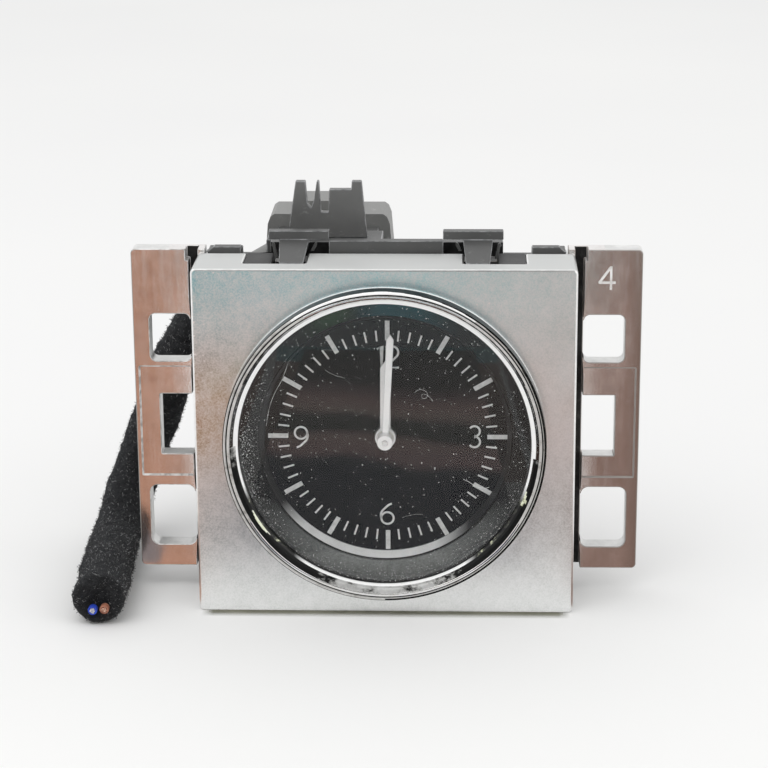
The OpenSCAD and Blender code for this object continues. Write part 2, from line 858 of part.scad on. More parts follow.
module rear_housing() {
    cup_r = drum_r - 0.8;
    color("dimgray")
        difference() {
            union() {
                turned([
                    [0, carrier_back], [cup_r, carrier_back], [cup_r, housing_back - 1.2],
                    [cup_r - 1.2, housing_back], [0, housing_back]
                ]);
                dial_slab(front_plate_y + movement_plate_t, carrier_back - front_plate_y) circle(stack_r);
                for (x = [-foot_x, foot_x])
                    slab(carrier_back, housing_d) field(x - 1.5, 0, x + 1.5, dial_up - cup_r + 6);
                dial_slab(housing_back - eps, 0.6)
                    for (x = [-6, 0, 6]) field(x - 0.6, -16, x + 0.6, 8);
                slab(carrier_back + 3, housing_d - 3)
                    field(tower_x - tower_w / 2, tower_low, tower_x + tower_w / 2, tower_high);
                slab(housing_back - eps, shroud_d + eps)
                    translate([tower_x, socket_z])
                        square([shroud_w, shroud_h], center = true);
            }
            dial_slab(front_plate_y, carrier_back - front_plate_y + housing_d - housing_wall)
                circle(cup_r - housing_wall);
            slab(housing_back - 1, shroud_d + 2)
                translate([tower_x, socket_z])
                    square([shroud_w - 2.4, shroud_h - 2.4], center = true);
        }
}

// The guard's outline: two tapered fins, a notch with a thin spike, and a block
module latch_guard() {
    x = tower_x;
    notch = fin_high - 4.7;
    color("dimgray")
        slab(guard_y, fin_t)
            polygon([
                [x - 6.4, tower_high], [x - 4.9, fin_high], [x - 3.2, fin_high],
                [x - 2.9, fin_high - 3.9], [x - 2.3, notch], [x - 1.7, fin_high - 3.2],
                [x - 1.25, fin_high], [x - 0.85, fin_high], [x - 0.7, fin_high - 3.2],
                [x - 0.5, fin_high - 5.4], [x + 0.7, fin_high - 5.4],
                [x + 0.9, fin_high - 1.4], [x + 4.7, fin_high - 1.4], [x + 4.8, fin_high],
                [x + 6.5, fin_high], [x + 7.4, tower_high]
            ]);
}

module contact_row() {
    pitch = (shroud_w - 5) / contact_count;
    for (i = [0:contact_count - 1])
        translate([tower_x + (i - (contact_count - 1) / 2) * pitch, 0, 0])
            children();
}

module socket_contacts() {
    color("goldenrod")
        contact_row()
            slab(housing_back - 1, 4.2)
                translate([0, socket_z]) square([0.64, 0.64], center = true);
}

module plug_body() {
    color("dimgray")
        difference() {
            slab(housing_back - 0.9, shroud_back - housing_back + 1.1)
                translate([tower_x, socket_z])
                    square([shroud_w - 2.6, shroud_h - 2.6], center = true);
            contact_row()
                slab(housing_back - 2, 6)
                    translate([0, socket_z]) square([0.84, 0.84], center = true);
        }
}

module plug_seal() {
    color("orangered")
        slab(shroud_back - 0.9, 0.8)
            translate([tower_x, socket_z])
                difference() {
                    square([shroud_w - 2.4, shroud_h - 2.4], center = true);
                    square([shroud_w - 2.6, shroud_h - 2.6], center = true);
                }
}

module cover_outline(inset) {
    top = cover_w / 2 - inset;
    foot = cover_w / 2 + 2.1 - inset;
    translate([tower_x, 0])
        polygon([
            [-foot, cover_low + inset], [foot, cover_low + inset],
            [top + 0.7, cover_high - 1.8], [top + 0.2, cover_high - 0.5 - inset],
            [top - 0.5, cover_high - inset], [-top + 0.5, cover_high - inset],
            [-top - 0.2, cover_high - 0.5 - inset], [-top - 0.7, cover_high - 1.8]
        ]);
}

module plug_cover() {
    neck_r = harness_d / 2 + 0.5;
    back_to_cover = 9;
    slope = atan2(route[0][0] - route[1][0], route[0][2] - route[1][2]);
    color("dimgray")
        difference() {
            union() {
                slab(cover_y, cover_d) cover_outline(0);
                slab(cover_y + 1.8, cover_d - 2)
                    field(tower_x - 4.7, cover_high - 1, tower_x + 3.5, cover_high + 2);
                for (x = [-4.6, 3.2])
                    slab(latch_pin_y - 1, 2.4)
                        translate([tower_x + x, 0]) field(0, cover_high - 1.2, 1.2, latch_z + 1.1);
                translate(route[0]) rotate([0, slope, 0]) cylinder(h = back_to_cover, r = neck_r);
            }
            slab(cover_y + 1.2, cover_d - 2.4) cover_outline(1.2);
            // The wires pass from the plug into the cover here
            slab(cover_y - eps, 2)
                translate([tower_x, socket_z]) square([shroud_w - 6, shroud_h - 7], center = true);
            translate([tower_x - 8, latch_pin_y, latch_z])
                rotate([0, 90, 0]) cylinder(h = 16, r = latch_pin_r + run_gap, $fn = 32);
        }
}

module plug_latch() {
    front = guard_y + fin_t + 0.8;
    color("gray")
        union() {
            translate([tower_x - 4.2, latch_pin_y, latch_z])
                rotate([0, 90, 0]) cylinder(h = 8, r = latch_pin_r, $fn = 32);
            slab(front, latch_pin_y - front)
                field(tower_x - 3, latch_z - 0.6, tower_x + 3, latch_z + 0.6);
            slab(front, 1.4)
                field(tower_x - 3, latch_z - 0.6, tower_x + 3, latch_z + 1.6);
        }
}

// The tube's rings follow the route's own points, and its ends are closed
module harness_sleeve() {
    n = len(route);
    s = harness_sides;
    rings = [for (i = [0:n - 1]) each ring_at(route, i, harness_d / 2, s)];
    points = concat(rings, [route[0], route[n - 1]]);
    first_end = [for (k = [0:s - 1]) [n * s, k, (k + 1) % s]];
    last_end = [for (k = [0:s - 1]) [n * s + 1, (n - 1) * s + (k + 1) % s, (n - 1) * s + k]];
    walls = [
        for (i = [0:n - 2])
            for (k = [0:s - 1])
                for (t = [0, 1])
                    t == 0
                        ? [i * s + k, (i + 1) * s + k, (i + 1) * s + (k + 1) % s]
                        : [i * s + k, (i + 1) * s + (k + 1) % s, i * s + (k + 1) % s]
    ];
    color([0.16, 0.16, 0.17]) polyhedron(points, concat(first_end, walls, last_end));
}

// A cut wire end that stands on the sleeve's end face
module wire_end(dx, dz) {
    tip = route[len(route) - 1];
    translate([tip[0] + dx, tip[1] - 0.2, tip[2] + dz])
        rotate([90, 0, 0]) cylinder(h = wire_stub, r = wire_d / 2, $fn = 24);
}

module wire_blue() {
    color("royalblue") wire_end(-1.1, -1.7);
}

module wire_brown() {
    color("sienna") wire_end(0.9, -1.5);
}

placed() face_shell();
placed() mounting_plate();
placed() bezel_ring();
placed() glass();
placed() glass_gasket();
placed() reflector_ring();
placed() dial();
placed() light_guide();
placed() hour_hand();
placed() minute_hand();
placed() circuit_board();
placed() dial_lamps();
placed() driver_chip();
placed() quartz_can();
placed() board_capacitors();
placed() movement_front_plate();
placed() movement_rear_plate();
placed() movement_pillars();
placed() movement_screws();
placed() hour_wheel();
placed() centre_arbor();
placed() motion_wheel();
placed() third_wheel();
placed() rotor_magnet();
placed() rotor_pinion();
placed() stator();
placed() coil_core();
placed() coil_bobbin();
placed() coil_winding();
placed() carrier();
placed() carrier_screws();
placed() rear_housing();
placed() latch_guard();
placed() socket_contacts();
placed() plug_body();
placed() plug_cover();
placed() plug_latch();
placed() plug_seal();
placed() harness_sleeve();
placed() wire_blue();
placed() wire_brown();
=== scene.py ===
# %% [markdown]
# # Dressing a dashboard clock
#
# The CAD of this clock is exact, but bare. In this lesson it gets its looks: a satin
# aluminium front, a polished bezel, a printed dial under dusty glass, chromed ears,
# moulded plastic behind, and a wiring harness wrapped in black fleece.
#
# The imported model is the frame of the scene. Nothing in it is moved or resized. A piece
# that needs a finer form than the CAD gives is built here and stands in for its node.

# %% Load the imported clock
import math

import bmesh
import bpy
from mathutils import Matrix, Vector, noise


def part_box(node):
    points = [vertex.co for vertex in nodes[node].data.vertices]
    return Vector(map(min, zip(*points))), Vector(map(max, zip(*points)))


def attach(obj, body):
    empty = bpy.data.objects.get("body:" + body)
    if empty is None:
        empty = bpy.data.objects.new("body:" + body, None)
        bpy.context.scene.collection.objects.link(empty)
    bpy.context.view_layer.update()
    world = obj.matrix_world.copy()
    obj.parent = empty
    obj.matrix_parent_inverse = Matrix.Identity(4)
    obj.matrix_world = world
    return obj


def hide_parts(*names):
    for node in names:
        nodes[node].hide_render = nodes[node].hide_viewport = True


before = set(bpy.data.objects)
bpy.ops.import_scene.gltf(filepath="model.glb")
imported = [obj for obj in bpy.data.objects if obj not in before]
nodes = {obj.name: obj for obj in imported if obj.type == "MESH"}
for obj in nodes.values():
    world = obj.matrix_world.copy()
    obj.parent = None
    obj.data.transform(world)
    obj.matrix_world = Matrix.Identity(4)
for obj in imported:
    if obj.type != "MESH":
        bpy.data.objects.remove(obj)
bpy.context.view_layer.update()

# %% [markdown]
# ## Places on the clock
#
# The clock was drawn in millimetres: across from the dial's axis, back from the face, and
# up from the ground. Blender works in metres, with the whole part centred in depth. One
# small function turns a place on the drawing into a place in the scene.

# %% Places
FACE_DEPTH = -15.65
DIAL_UP = 30.2


def spot(across, back, up):
    """A place on the drawing, in metres."""
    return Vector((across, back + FACE_DEPTH, up)) / 1000


def add_object(name, data):
    made = bpy.data.objects.new(name, data)
    bpy.context.collection.objects.link(made)
    return made


axis = spot(0, 0, DIAL_UP)
print("the dial's axis is", round(axis.z, 4), "m above the ground")

# %% [markdown]
# ## The camera
#
# The photographer stood a little above the clock and a little to its right, about 41 cm
# away. These numbers come from fitting a pinhole camera to the corners of the face, the
# ears and the dial's ticks. Setting the lens in millimetres on a 36 mm sensor keeps the
# picture's perspective independent of its size.

# %% Camera
camera_data = bpy.data.cameras.new("camera")
camera_data.lens = 112.92
camera_data.sensor_width = 36
camera = add_object("camera", camera_data)
camera.location = (0.0145, -0.4002, 0.1562)
camera.rotation_euler = [math.radians(a) for a in (73.302, 0.367, 2.054)]
bpy.context.scene.camera = camera
print("camera looks from", [round(v, 3) for v in camera.location])

# %% [markdown]
# ## A few helpers for meshes
#
# Most pieces are skins between rows of vertices.

# %% Mesh helpers
def around(radius, sides):
    """Points of a circle, as pairs."""
    return [(radius * math.cos(math.tau * k / sides), radius * math.sin(math.tau * k / sides))
            for k in range(sides)]


def skin(work, rows, capped=False):
    """Quads between rows of vertices that close on themselves, and, if capped, a face at each end.
    """
    for here, there in zip(rows, rows[1:]):
        for k in range(len(here)):
            n = (k + 1) % len(here)
            work.faces.new((here[k], here[n], there[n], there[k]))
    if capped:
        work.faces.new(rows[0])
        work.faces.new(list(reversed(rows[-1])))


def piece(name, work, angle=30, outward=True):
    """A new object from a bmesh, smooth except across edges sharper than the angle."""
    if outward:
        bmesh.ops.recalc_face_normals(work, faces=work.faces)
    mesh = bpy.data.meshes.new(name)
    work.to_mesh(mesh)
    work.free()
    mesh.shade_smooth()
    mesh.set_sharp_from_angle(angle=math.radians(angle))
    return add_object(name, mesh)


def keep(made):
    """Turns the evaluated form into the object's own mesh and removes its modifiers."""
    graph = bpy.context.evaluated_depsgraph_get()
    mesh = bpy.data.meshes.new_from_object(made.evaluated_get(graph), depsgraph=graph)
    made.modifiers.clear()
    made.data = mesh
    mesh.name = made.name
    return made


def seat(made, body, slot, *replaced):
    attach(made, body)
    if replaced:
        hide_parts(*replaced)
    return made


print("a circle of six sides starts at", around(1, 6)[0])

# %% [markdown]
# ## The harness route
#
# The harness leaves the plug's neck to the left, bends down behind the left ear and then
# lies forward on the table, where it was cut off. A cord follows one smooth curve, so the
# route's few points are joined by a Catmull-Rom spline, which passes through each of them.

# %% Harness route
ROUTE = [
    (-27, 39.8, 47), (-29.6, 39.8, 45.5), (-32.3, 39.8, 43.5), (-34.9, 39.8, 40.9),
    (-37.3, 39.8, 37.6), (-39.3, 39.8, 34), (-41, 39.8, 30.2), (-42.4, 39.8, 26.4),
    (-43.8, 39.8, 22.4), (-45.5, 39.2, 17.9), (-47.1, 37.4, 13.6), (-48.3, 34.5, 9.9),
    (-49.1, 30.8, 7), (-49.5, 26.5, 5.2), (-49.6, 21.8, 4.6), (-49.4, 15, 4.6),
    (-49, 8, 4.6), (-48.6, 1, 4.6), (-48.2, -6.5, 4.6),
]


def smooth_line(points, steps):
    """Points along a Catmull-Rom spline through the given ones."""
    line = []
    for i in range(len(points) - 1):
        a, b, c, d = (points[min(max(i + k, 0), len(points) - 1)] for k in (-1, 0, 1, 2))
        for s in range(steps):
            t = s / steps
            line.append(0.5 * (2 * b + (c - a) * t + (2 * a - 5 * b + 4 * c - d) * t * t
                               + (3 * b - a - 3 * c + d) * t ** 3))
    return line + [points[-1]]


harness_line = smooth_line([spot(*p) for p in ROUTE], 10)

# %% [markdown]
# ## The fleece sleeve
#
# The wires are wrapped in fleece tape. The tape gives the harness a slightly lumpy body,
# with a low step where each turn overlaps the one before. A tube of rings along the line
# carries both: coherent noise for the lumps, and a sawtooth in the winding angle for the
# overlaps. At the cut the last rings close in to a hollow, frayed end.

# %% Fleece sleeve
SLEEVE_R = 4.4
SLEEVE_SIDES = 44
WRAP_PITCH = 0.0135
TAPE_STEP = 0.22
STEP_SHARE = 0.12
FLOOR_GAP = 0.0001


def sleeve_radius(along, around_it, point):
    """Radius of the fleece in metres at a distance along the line and an angle round it."""
    turn = (along / WRAP_PITCH + around_it / math.tau) % 1.0
    overlap = TAPE_STEP * (1 - turn) if turn > STEP_SHARE else TAPE_STEP * turn / STEP_SHARE
    lumps = 0.36 * noise.noise(point * 260) + 0.3 * noise.noise(point * 900)
    fluff = 0.24 * noise.noise(point * 2400)
    return (SLEEVE_R - 0.18 + overlap + lumps + fluff) / 1000


def frame_along(line):
    """At each point of a line: its direction and two sideways directions, without twist."""
    side = Vector((0, 1, 0.2)).normalized()
    for i, point in enumerate(line):
        ahead = (line[min(i + 1, len(line) - 1)] - line[max(i - 1, 0)]).normalized()
        side = (side - ahead * side.dot(ahead)).normalized()
        yield point, side, ahead.cross(side)


work = bmesh.new()
rings = []
along = 0.0
last = harness_line[0]
for point, side, other in frame_along(harness_line):
    along += (point - last).length
    last = point
    ring = []
    for k in range(SLEEVE_SIDES):
        a = math.tau * k / SLEEVE_SIDES
        out = side * math.cos(a) + other * math.sin(a)
        r = sleeve_radius(along, a, point + out * 0.004)
        low = FLOOR_GAP - (point + out * r).z
        ring.append(work.verts.new(point + out * r + Vector((0, 0, max(low, 0)))))
    rings.append(ring)
tip, tip_ahead = harness_line[-1], (harness_line[-1] - harness_line[-3]).normalized()
rim = rings[-1]
for share, depth in ((0.93, 0.35), (0.8, 0.5), (0.62, 0.2), (0.5, -0.5), (0.25, -0.9)):
    rings.append([work.verts.new(tip + (vert.co - tip) * share + tip_ahead
                                 * (depth + 0.25 * noise.noise(vert.co * 1500)) / 1000)
                  for vert in rim])
skin(work, rings)
work.faces.new(list(reversed(rings[0])))
work.faces.new(rings[-1])
sleeve = piece("fleece_sleeve", work, 60)
print("sleeve faces", len(sleeve.data.polygons))

# %% [markdown]
# ## Node trees in short
#
# Finishes and growth are both built from nodes. `Tree` adds a node, sets or links its
# sockets and hands it back. `Finish` is a Principled shader with patterns: `grain` is noise
# read from object coordinates, `ramp` turns a value into colours, `relief` feeds a bump.
# All patterns are read in metres on the piece itself, so they stay put when the piece
# turns or the camera moves. A single number stands for a grey, and "Z" for the height.

# %% Finish helper
def rgb(colour):
    return colour if isinstance(colour, tuple) else (colour,) * 3


class Tree:
    """Short ways to add nodes to a tree, link them and set their sockets."""

    prefix = "ShaderNode"
    here = None    # the socket with the place that coordinates are read from

    def __init__(self, tree):
        self.tree = tree

    def give(self, socket, value):
        """Sets or links a socket; X, Y, Z or |X| stands for a coordinate, a number for a grey."""
        if isinstance(value, str):
            value = self.coordinate(value)
        if isinstance(value, bpy.types.NodeSocket):
            self.tree.links.new(value, socket)
        else:
            socket.default_value = (*rgb(value), 1) if socket.type == "RGBA" else value

    def node(self, kind, settings=None, *values, **named):
        """A node with its settings, and values or sockets for its inputs."""
        made = self.tree.nodes.new(kind if "Node" in kind else self.prefix + kind)
        for key, value in (settings or {}).items():
            setattr(made, key, value)
        for socket, value in zip(made.inputs, values):
            self.give(socket, value)
        for title, value in named.items():
            self.give(made.inputs[title.replace("_", " ")], value)
        return made

    def sum(self, kind, a, b=0.0):
        """A sum of two values or sockets: ADD, MULTIPLY, LESS_THAN and so on."""
        return self.node("ShaderNodeMath", {"operation": kind}, a, b).outputs[0]

    def both(self, a, b):
        return self.sum("MULTIPLY", a, b)

    def span(self, source, low, high, out_low=0.0, out_high=1.0):
        """Stretches a value's range."""
        return self.node("ShaderNodeMapRange", None, source, low, high, out_low,
                         out_high).outputs[0]

    def where(self, *ranges):
        """The product of several ranges: 1 where all of them are at their ends."""
        product, *others = [self.span(*limits) for limits in ranges]
        for share in others:
            product = self.both(product, share)
        return product

    def coordinate(self, name):
        """One coordinate of the place in metres; between bars, without its sign."""
        source = self.node("ShaderNodeSeparateXYZ", None, self.here).outputs[name.strip("|")]
        return self.sum("ABSOLUTE", source) if "|" in name else source


class Finish(Tree):
    """A Principled material with procedural inputs."""

    def __init__(self, name, colour, rough=0.5, metal=0.0, **sockets):
        self.material = bpy.data.materials.new(name)
        self.material.use_nodes = True
        super().__init__(self.material.node_tree)
        self.shader = self.tree.nodes["Principled BSDF"]
        self.put(Base_Color=colour, Roughness=rough, Metallic=metal, **sockets)
        self.here = self.node("TexCoord").outputs["Object"]

    def put(self, **sockets):
        for title, value in sockets.items():
            self.give(self.shader.inputs[title.replace("_", " ")], value)
        return self

    def spread(self, scale, shift=(0, 0, 0)):
        """Object coordinates, scaled and shifted."""
        return self.node("Mapping", Vector=self.here, Scale=scale, Location=shift).outputs[0]

    def grain(self, scale, detail=4, rough=0.55, stretch=(1, 1, 1), shift=(0, 0, 0)):
        """Noise with so many cells per metre."""
        return self.node("TexNoise", Scale=scale, Detail=detail, Roughness=rough,
                         Vector=self.spread(stretch, shift)).outputs["Fac"]

    def cells(self, scale):
        """Distance to the nearest of scattered points."""
        return self.node("TexVoronoi", Scale=scale,
                         Vector=self.spread((1, 1, 1))).outputs["Distance"]

    def ramp(self, source, *stops):
        """Colours at places along a value."""
        made = self.node("ValToRGB", None, source)
        while len(made.color_ramp.elements) < len(stops):
            made.color_ramp.elements.new(0.5)
        for element, (position, colour) in zip(made.color_ramp.elements, stops):
            element.position = position
            element.color = (*rgb(colour), 1)
        return made.outputs["Color"]

    def mix(self, share, first, second, kind="MIX"):
        """Two colours, mixed by a share."""
        mixer = self.node("Mix", {"data_type": "RGBA", "blend_type": kind})
        for index, value in ((0, share), (6, first), (7, second)):
            self.give(mixer.inputs[index], value)
        return mixer.outputs[2]

    def colour(self, source):
        return self.put(Base_Color=source)

    def mottled(self, noise, *stops):
        """Colours from one noise, given by its scale or by more of what grain takes."""
        numbers = noise if isinstance(noise, tuple) else (noise,)
        return self.colour(self.ramp(self.grain(*numbers), *stops))

    def roughness(self, source, low, high):
        return self.put(Roughness=self.span(source, 0.3, 0.7, low, high))

    def relief(self, source, strength, distance):
        bump = self.node("Bump", Strength=strength, Distance=distance, Height=source)
        return self.put(Normal=bump.outputs["Normal"])


def wear(made, *finishes):
    """Gives a piece its finishes, one for each material slot."""
    slots = made.data.materials
    for i, finish in enumerate(finishes):
        if i < len(slots):
            slots[i] = finish.material
        else:
            slots.append(finish.material)
    return made


print("a grey of 0.5 is", rgb(0.5))

# %% [markdown]
# ## Fleece
#
# Fleece tape is matt black felt. Up close it is dark grey with lighter crossing fibres,
# and it scatters a little light at grazing angles, which the shader's sheen does. Two
# stretched noises at right angles suggest the felted threads, and the bump makes them
# catch the light.

# %% Fleece finish
fleece = Finish("black_fleece", 0.01, 0.95, Sheen_Weight=0.12, Sheen_Roughness=0.6,
                Sheen_Tint=(0.75, 0.78, 0.82), Specular_IOR_Level=0.2)
threads = fleece.sum("MAXIMUM", fleece.grain(1500, 6, 0.75, (1, 0.45, 1)),
                     fleece.grain(1400, 6, 0.75, (0.5, 1, 0.7), (0.3, 0.1, 0)))
fleece.colour(fleece.ramp(threads, (0.42, (0.003, 0.003, 0.0035)), (0.56, (0.009, 0.009, 0.01)),
                          (0.68, (0.034, 0.035, 0.037)), (0.82, (0.16, 0.165, 0.17))))
fleece.relief(threads, 1.0, 0.0008)
wear(sleeve, fleece)
print("fleece nodes", len(fleece.tree.nodes))

# %% [markdown]
# ## Loose fibres with Geometry Nodes
#
# What makes fleece look like fleece is its outline: thousands of fibres stand off it.
# The tree below scatters points over the sleeve, puts one bent fibre on each, turned at
# random, and joins them all. Scattering is the right tool, because nothing about the
# fibres is regular, and the fixed seed gives the same fur each time.

# %% Fibre tree
class Growth(Tree):
    """A geometry tree with named inputs that puts one shape on many points."""

    prefix = "GeometryNode"
    kinds = {int: "NodeSocketInt", float: "NodeSocketFloat"}

    def __init__(self, name, **inputs):
        super().__init__(bpy.data.node_groups.new(name, "GeometryNodeTree"))
        add_socket = self.tree.interface.new_socket
        for way in ("INPUT", "OUTPUT"):
            add_socket("Geometry", in_out=way, socket_type="NodeSocketGeometry")
        for title, value in inputs.items():
            kind = self.kinds[type(value)]
            add_socket(title, in_out="INPUT", socket_type=kind).default_value = value
        add_socket("Material", in_out="INPUT", socket_type="NodeSocketMaterial")
        self.given = self.tree.nodes.new("NodeGroupInput").outputs

    def random(self, low, high):
        """A random value for each point, or three of them between two vectors."""
        vector = isinstance(low, tuple)
        kind = "FLOAT_VECTOR" if vector else "FLOAT"
        made = self.node("FunctionNodeRandomValue", {"data_type": kind})
        first = 0 if vector else 2
        self.give(made.inputs[first], low)
        self.give(made.inputs[first + 1], high)
        return made.outputs[0 if vector else 1]

    def scatter(self, density):
        """Points strewn over the piece, so many per square metre."""
        return self.node("DistributePointsOnFaces", Mesh=self.given["Geometry"], Density=density,
                         Seed=self.given["Seed"]).outputs

    def thread(self, thickness, steps, start, middle, end):
        """A bent thread of unit length; scaled to its length it has the wanted thickness."""
        line = self.node("CurveQuadraticBezier", Resolution=steps, Start=start, Middle=middle,
                         End=end)
        outline = self.node("CurvePrimitiveCircle", Resolution=3,
                            Radius=self.sum("DIVIDE", thickness, self.given["Length"]))
        return self.node("CurveToMesh", Curve=line.outputs[0],
                         Profile_Curve=outline.outputs[0]).outputs[0]

    def plant(self, **inputs):
        """Puts the shape on the points, makes it real and gives it its material."""
        placed = self.node("InstanceOnPoints", **inputs)
        real = self.node("RealizeInstances", Geometry=placed.outputs[0])
        dyed = self.node("SetMaterial", Geometry=real.outputs[0], Material=self.given["Material"])
        self.node("NodeGroupOutput", None, dyed.outputs[0])


def grow(made, growth, finish, **values):
    """Runs a tree on a piece and keeps the mesh that it makes."""
    modifier = made.modifiers.new(growth.tree.name, "NODES")
    modifier.node_group = growth.tree
    values["Material"] = finish.material
    for item in growth.tree.interface.items_tree:
        if item.in_out == "INPUT" and item.name in values:
            modifier[item.identifier] = values[item.name]
    return keep(made)


fibres = Growth("loose_fibres", Density=2.0e6, Length=0.001, Thickness=0.00003, Lift=0.5, Seed=1)
given = fibres.given
rooted = fibres.scatter(given["Density"])
lift = fibres.node("ShaderNodeCombineXYZ", None, given["Lift"], given["Lift"], 1.0)
leaning = fibres.node("ShaderNodeVectorMath", {"operation": "MULTIPLY"},
                      fibres.random((-1, -1, 0), (1, 1, 6.28)), lift.outputs[0])
bent_over = fibres.node("FunctionNodeRotateEuler", {"space": "LOCAL"}, rooted["Rotation"],
                        leaning.outputs[0])
fibres.plant(Points=rooted["Points"], Rotation=bent_over.outputs[0],
             Instance=fibres.thread(given["Thickness"], 3, (0, 0, 0), (0.1, 0, 0.6), (0.6, 0, 0.8)),
             Scale=fibres.both(fibres.random(0.45, 1.25), given["Length"]))
print("fibre tree nodes", len(fibres.tree.nodes))

# %% [markdown]
# The tree runs twice: once for many dark fibres, and once for sparse pale lint, which the
# photographed harness has picked up.

# %% Grow the fibres
dark_fibre = Finish("dark_fibre", (0.022, 0.022, 0.024), 0.8).mottled(
    (700, 3), (0.35, (0.008, 0.008, 0.009)), (0.65, (0.05, 0.05, 0.053)))
pale_lint = Finish("pale_lint", (0.3, 0.31, 0.32), 0.7).mottled(
    (1500, 3), (0.36, (0.012, 0.012, 0.0125)), (0.48, (0.08, 0.08, 0.082)), (0.62, 0.42))
cord_pieces = [
    grow(add_object(name, sleeve.data.copy()), fibres, finish, Density=density, Length=length,
         Thickness=thickness, Lift=spread, Seed=seed)
    for name, finish, density, length, thickness, spread, seed in (
        ("fleece_fibres", dark_fibre, 3.0e6, 0.00045, 0.000024, 1.3, 3),
        ("fleece_lint", pale_lint, 2.9e6, 0.0005, 0.000038, 2.0, 8))]
for extra in cord_pieces:
    seat(extra, "case", "black_fleece")
    print(extra.name, "faces", len(extra.data.polygons))

# %% [markdown]
# ## The cut wire ends
#
# Two wires peep out of the cut. Each is an insulated tube with a rounded rim and a bundle
# of bare strands inside, in the usual hexagonal packing of a seven strand wire.

# %% Wire ends
def rod_rows(work, x, z, profile, sides):
    """Rows of vertices round a rod that lies back to front, from radii and depths."""
    return [[work.verts.new((x + dx, depth, z + dz)) for dx, dz in around(r, sides)]
            for r, depth in profile]


def wire_stub(name, middle, outer, front, back):
    """The insulation of a cut wire, with a rounded rim, where the CAD has a plain rod."""
    work = bmesh.new()
    profile = [(0.0, back), (outer * 0.98, back), (outer, front + 0.00025),
               (outer * 0.93, front + 0.00006), (outer * 0.8, front),
               (outer * 0.62, front + 0.00005), (outer * 0.58, front + 0.0003),
               (0.0, front + 0.0003)]
    skin(work, rod_rows(work, middle.x, middle.z, profile, 28))
    bmesh.ops.remove_doubles(work, verts=work.verts, dist=1e-7)
    return piece(name, work, 40)


def strands(name, middle, outer, front):
    """Seven bare strands, each with a crooked, cut tip."""
    work = bmesh.new()
    radius = outer * 0.19
    for n, (dx, dz) in enumerate([(0, 0)] + around(outer * 0.38, 6)):
        proud = 0.00018 + 0.00016 * math.sin(n * 2.3)
        profile = ((radius, front + 0.0006), (radius, front - proud + 0.00005),
                   (radius * 0.6, front - proud))
        skin(work, rod_rows(work, middle.x + dx, middle.z + dz, profile, 12), True)
    return piece(name, work, 40)


blue_wire = Finish("blue_insulation", (0.02, 0.06, 0.5), 0.35).mottled(
    900, (0.3, (0.012, 0.035, 0.36)), (0.7, (0.05, 0.12, 0.72)))
brown_wire = Finish("brown_insulation", (0.16, 0.05, 0.03), 0.4).mottled(
    900, (0.3, (0.2, 0.06, 0.035)), (0.7, (0.5, 0.22, 0.14)))
bare_copper = Finish("bare_copper", (0.86, 0.45, 0.3), 0.25, 1.0).mottled(
    2500, (0.3, (0.8, 0.42, 0.28)), (0.6, (0.98, 0.78, 0.66)))
tinned_copper = Finish("tinned_copper", (0.85, 0.85, 0.87), 0.3, 0.6).mottled(
    2500, (0.3, (0.6, 0.6, 0.64)), (0.6, (0.95, 0.95, 0.97)))
for tag, insulation, metal in (("blue", blue_wire, tinned_copper),
                               ("brown", brown_wire, bare_copper)):
    low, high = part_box("wire_" + tag)
    middle = (low + high) / 2
    outer = (high.x - low.x) / 2
    stub = wear(wire_stub(tag + "_wire_end", middle, outer, low.y, high.y), insulation)
    bundle = wear(strands(tag + "_wire_strands", middle, outer, low.y), metal)
    seat(stub, "case", tag + "_insulation", "wire_" + tag)
    seat(bundle, "case", "copper")
    cord_pieces += [stub, bundle]
print("wire ends", len(cord_pieces) - 2)

# %% [markdown]
# ## The sleeve in place
#
# The sleeve stands in for the harness node, on the case like the fur and the wire ends.

seat(sleeve, "case", "black_fleece", "harness_sleeve")
print("cord pieces", len(cord_pieces))

# %% [markdown]
# ## Softened edges
#
# Nothing that is moulded, cast or stamped has a knife edge. A real edge is rounded by a few
# tenths of a millimetre, and that is where it catches the light. A copy of the exact CAD
# form is cleaned into large flat faces, and a Bevel modifier rounds every edge sharper than
# the given angle. Its new faces take a second material, for rubbed or shiny edges. Level
# and upright cuts keep faces with holes in them from being drawn over their holes.

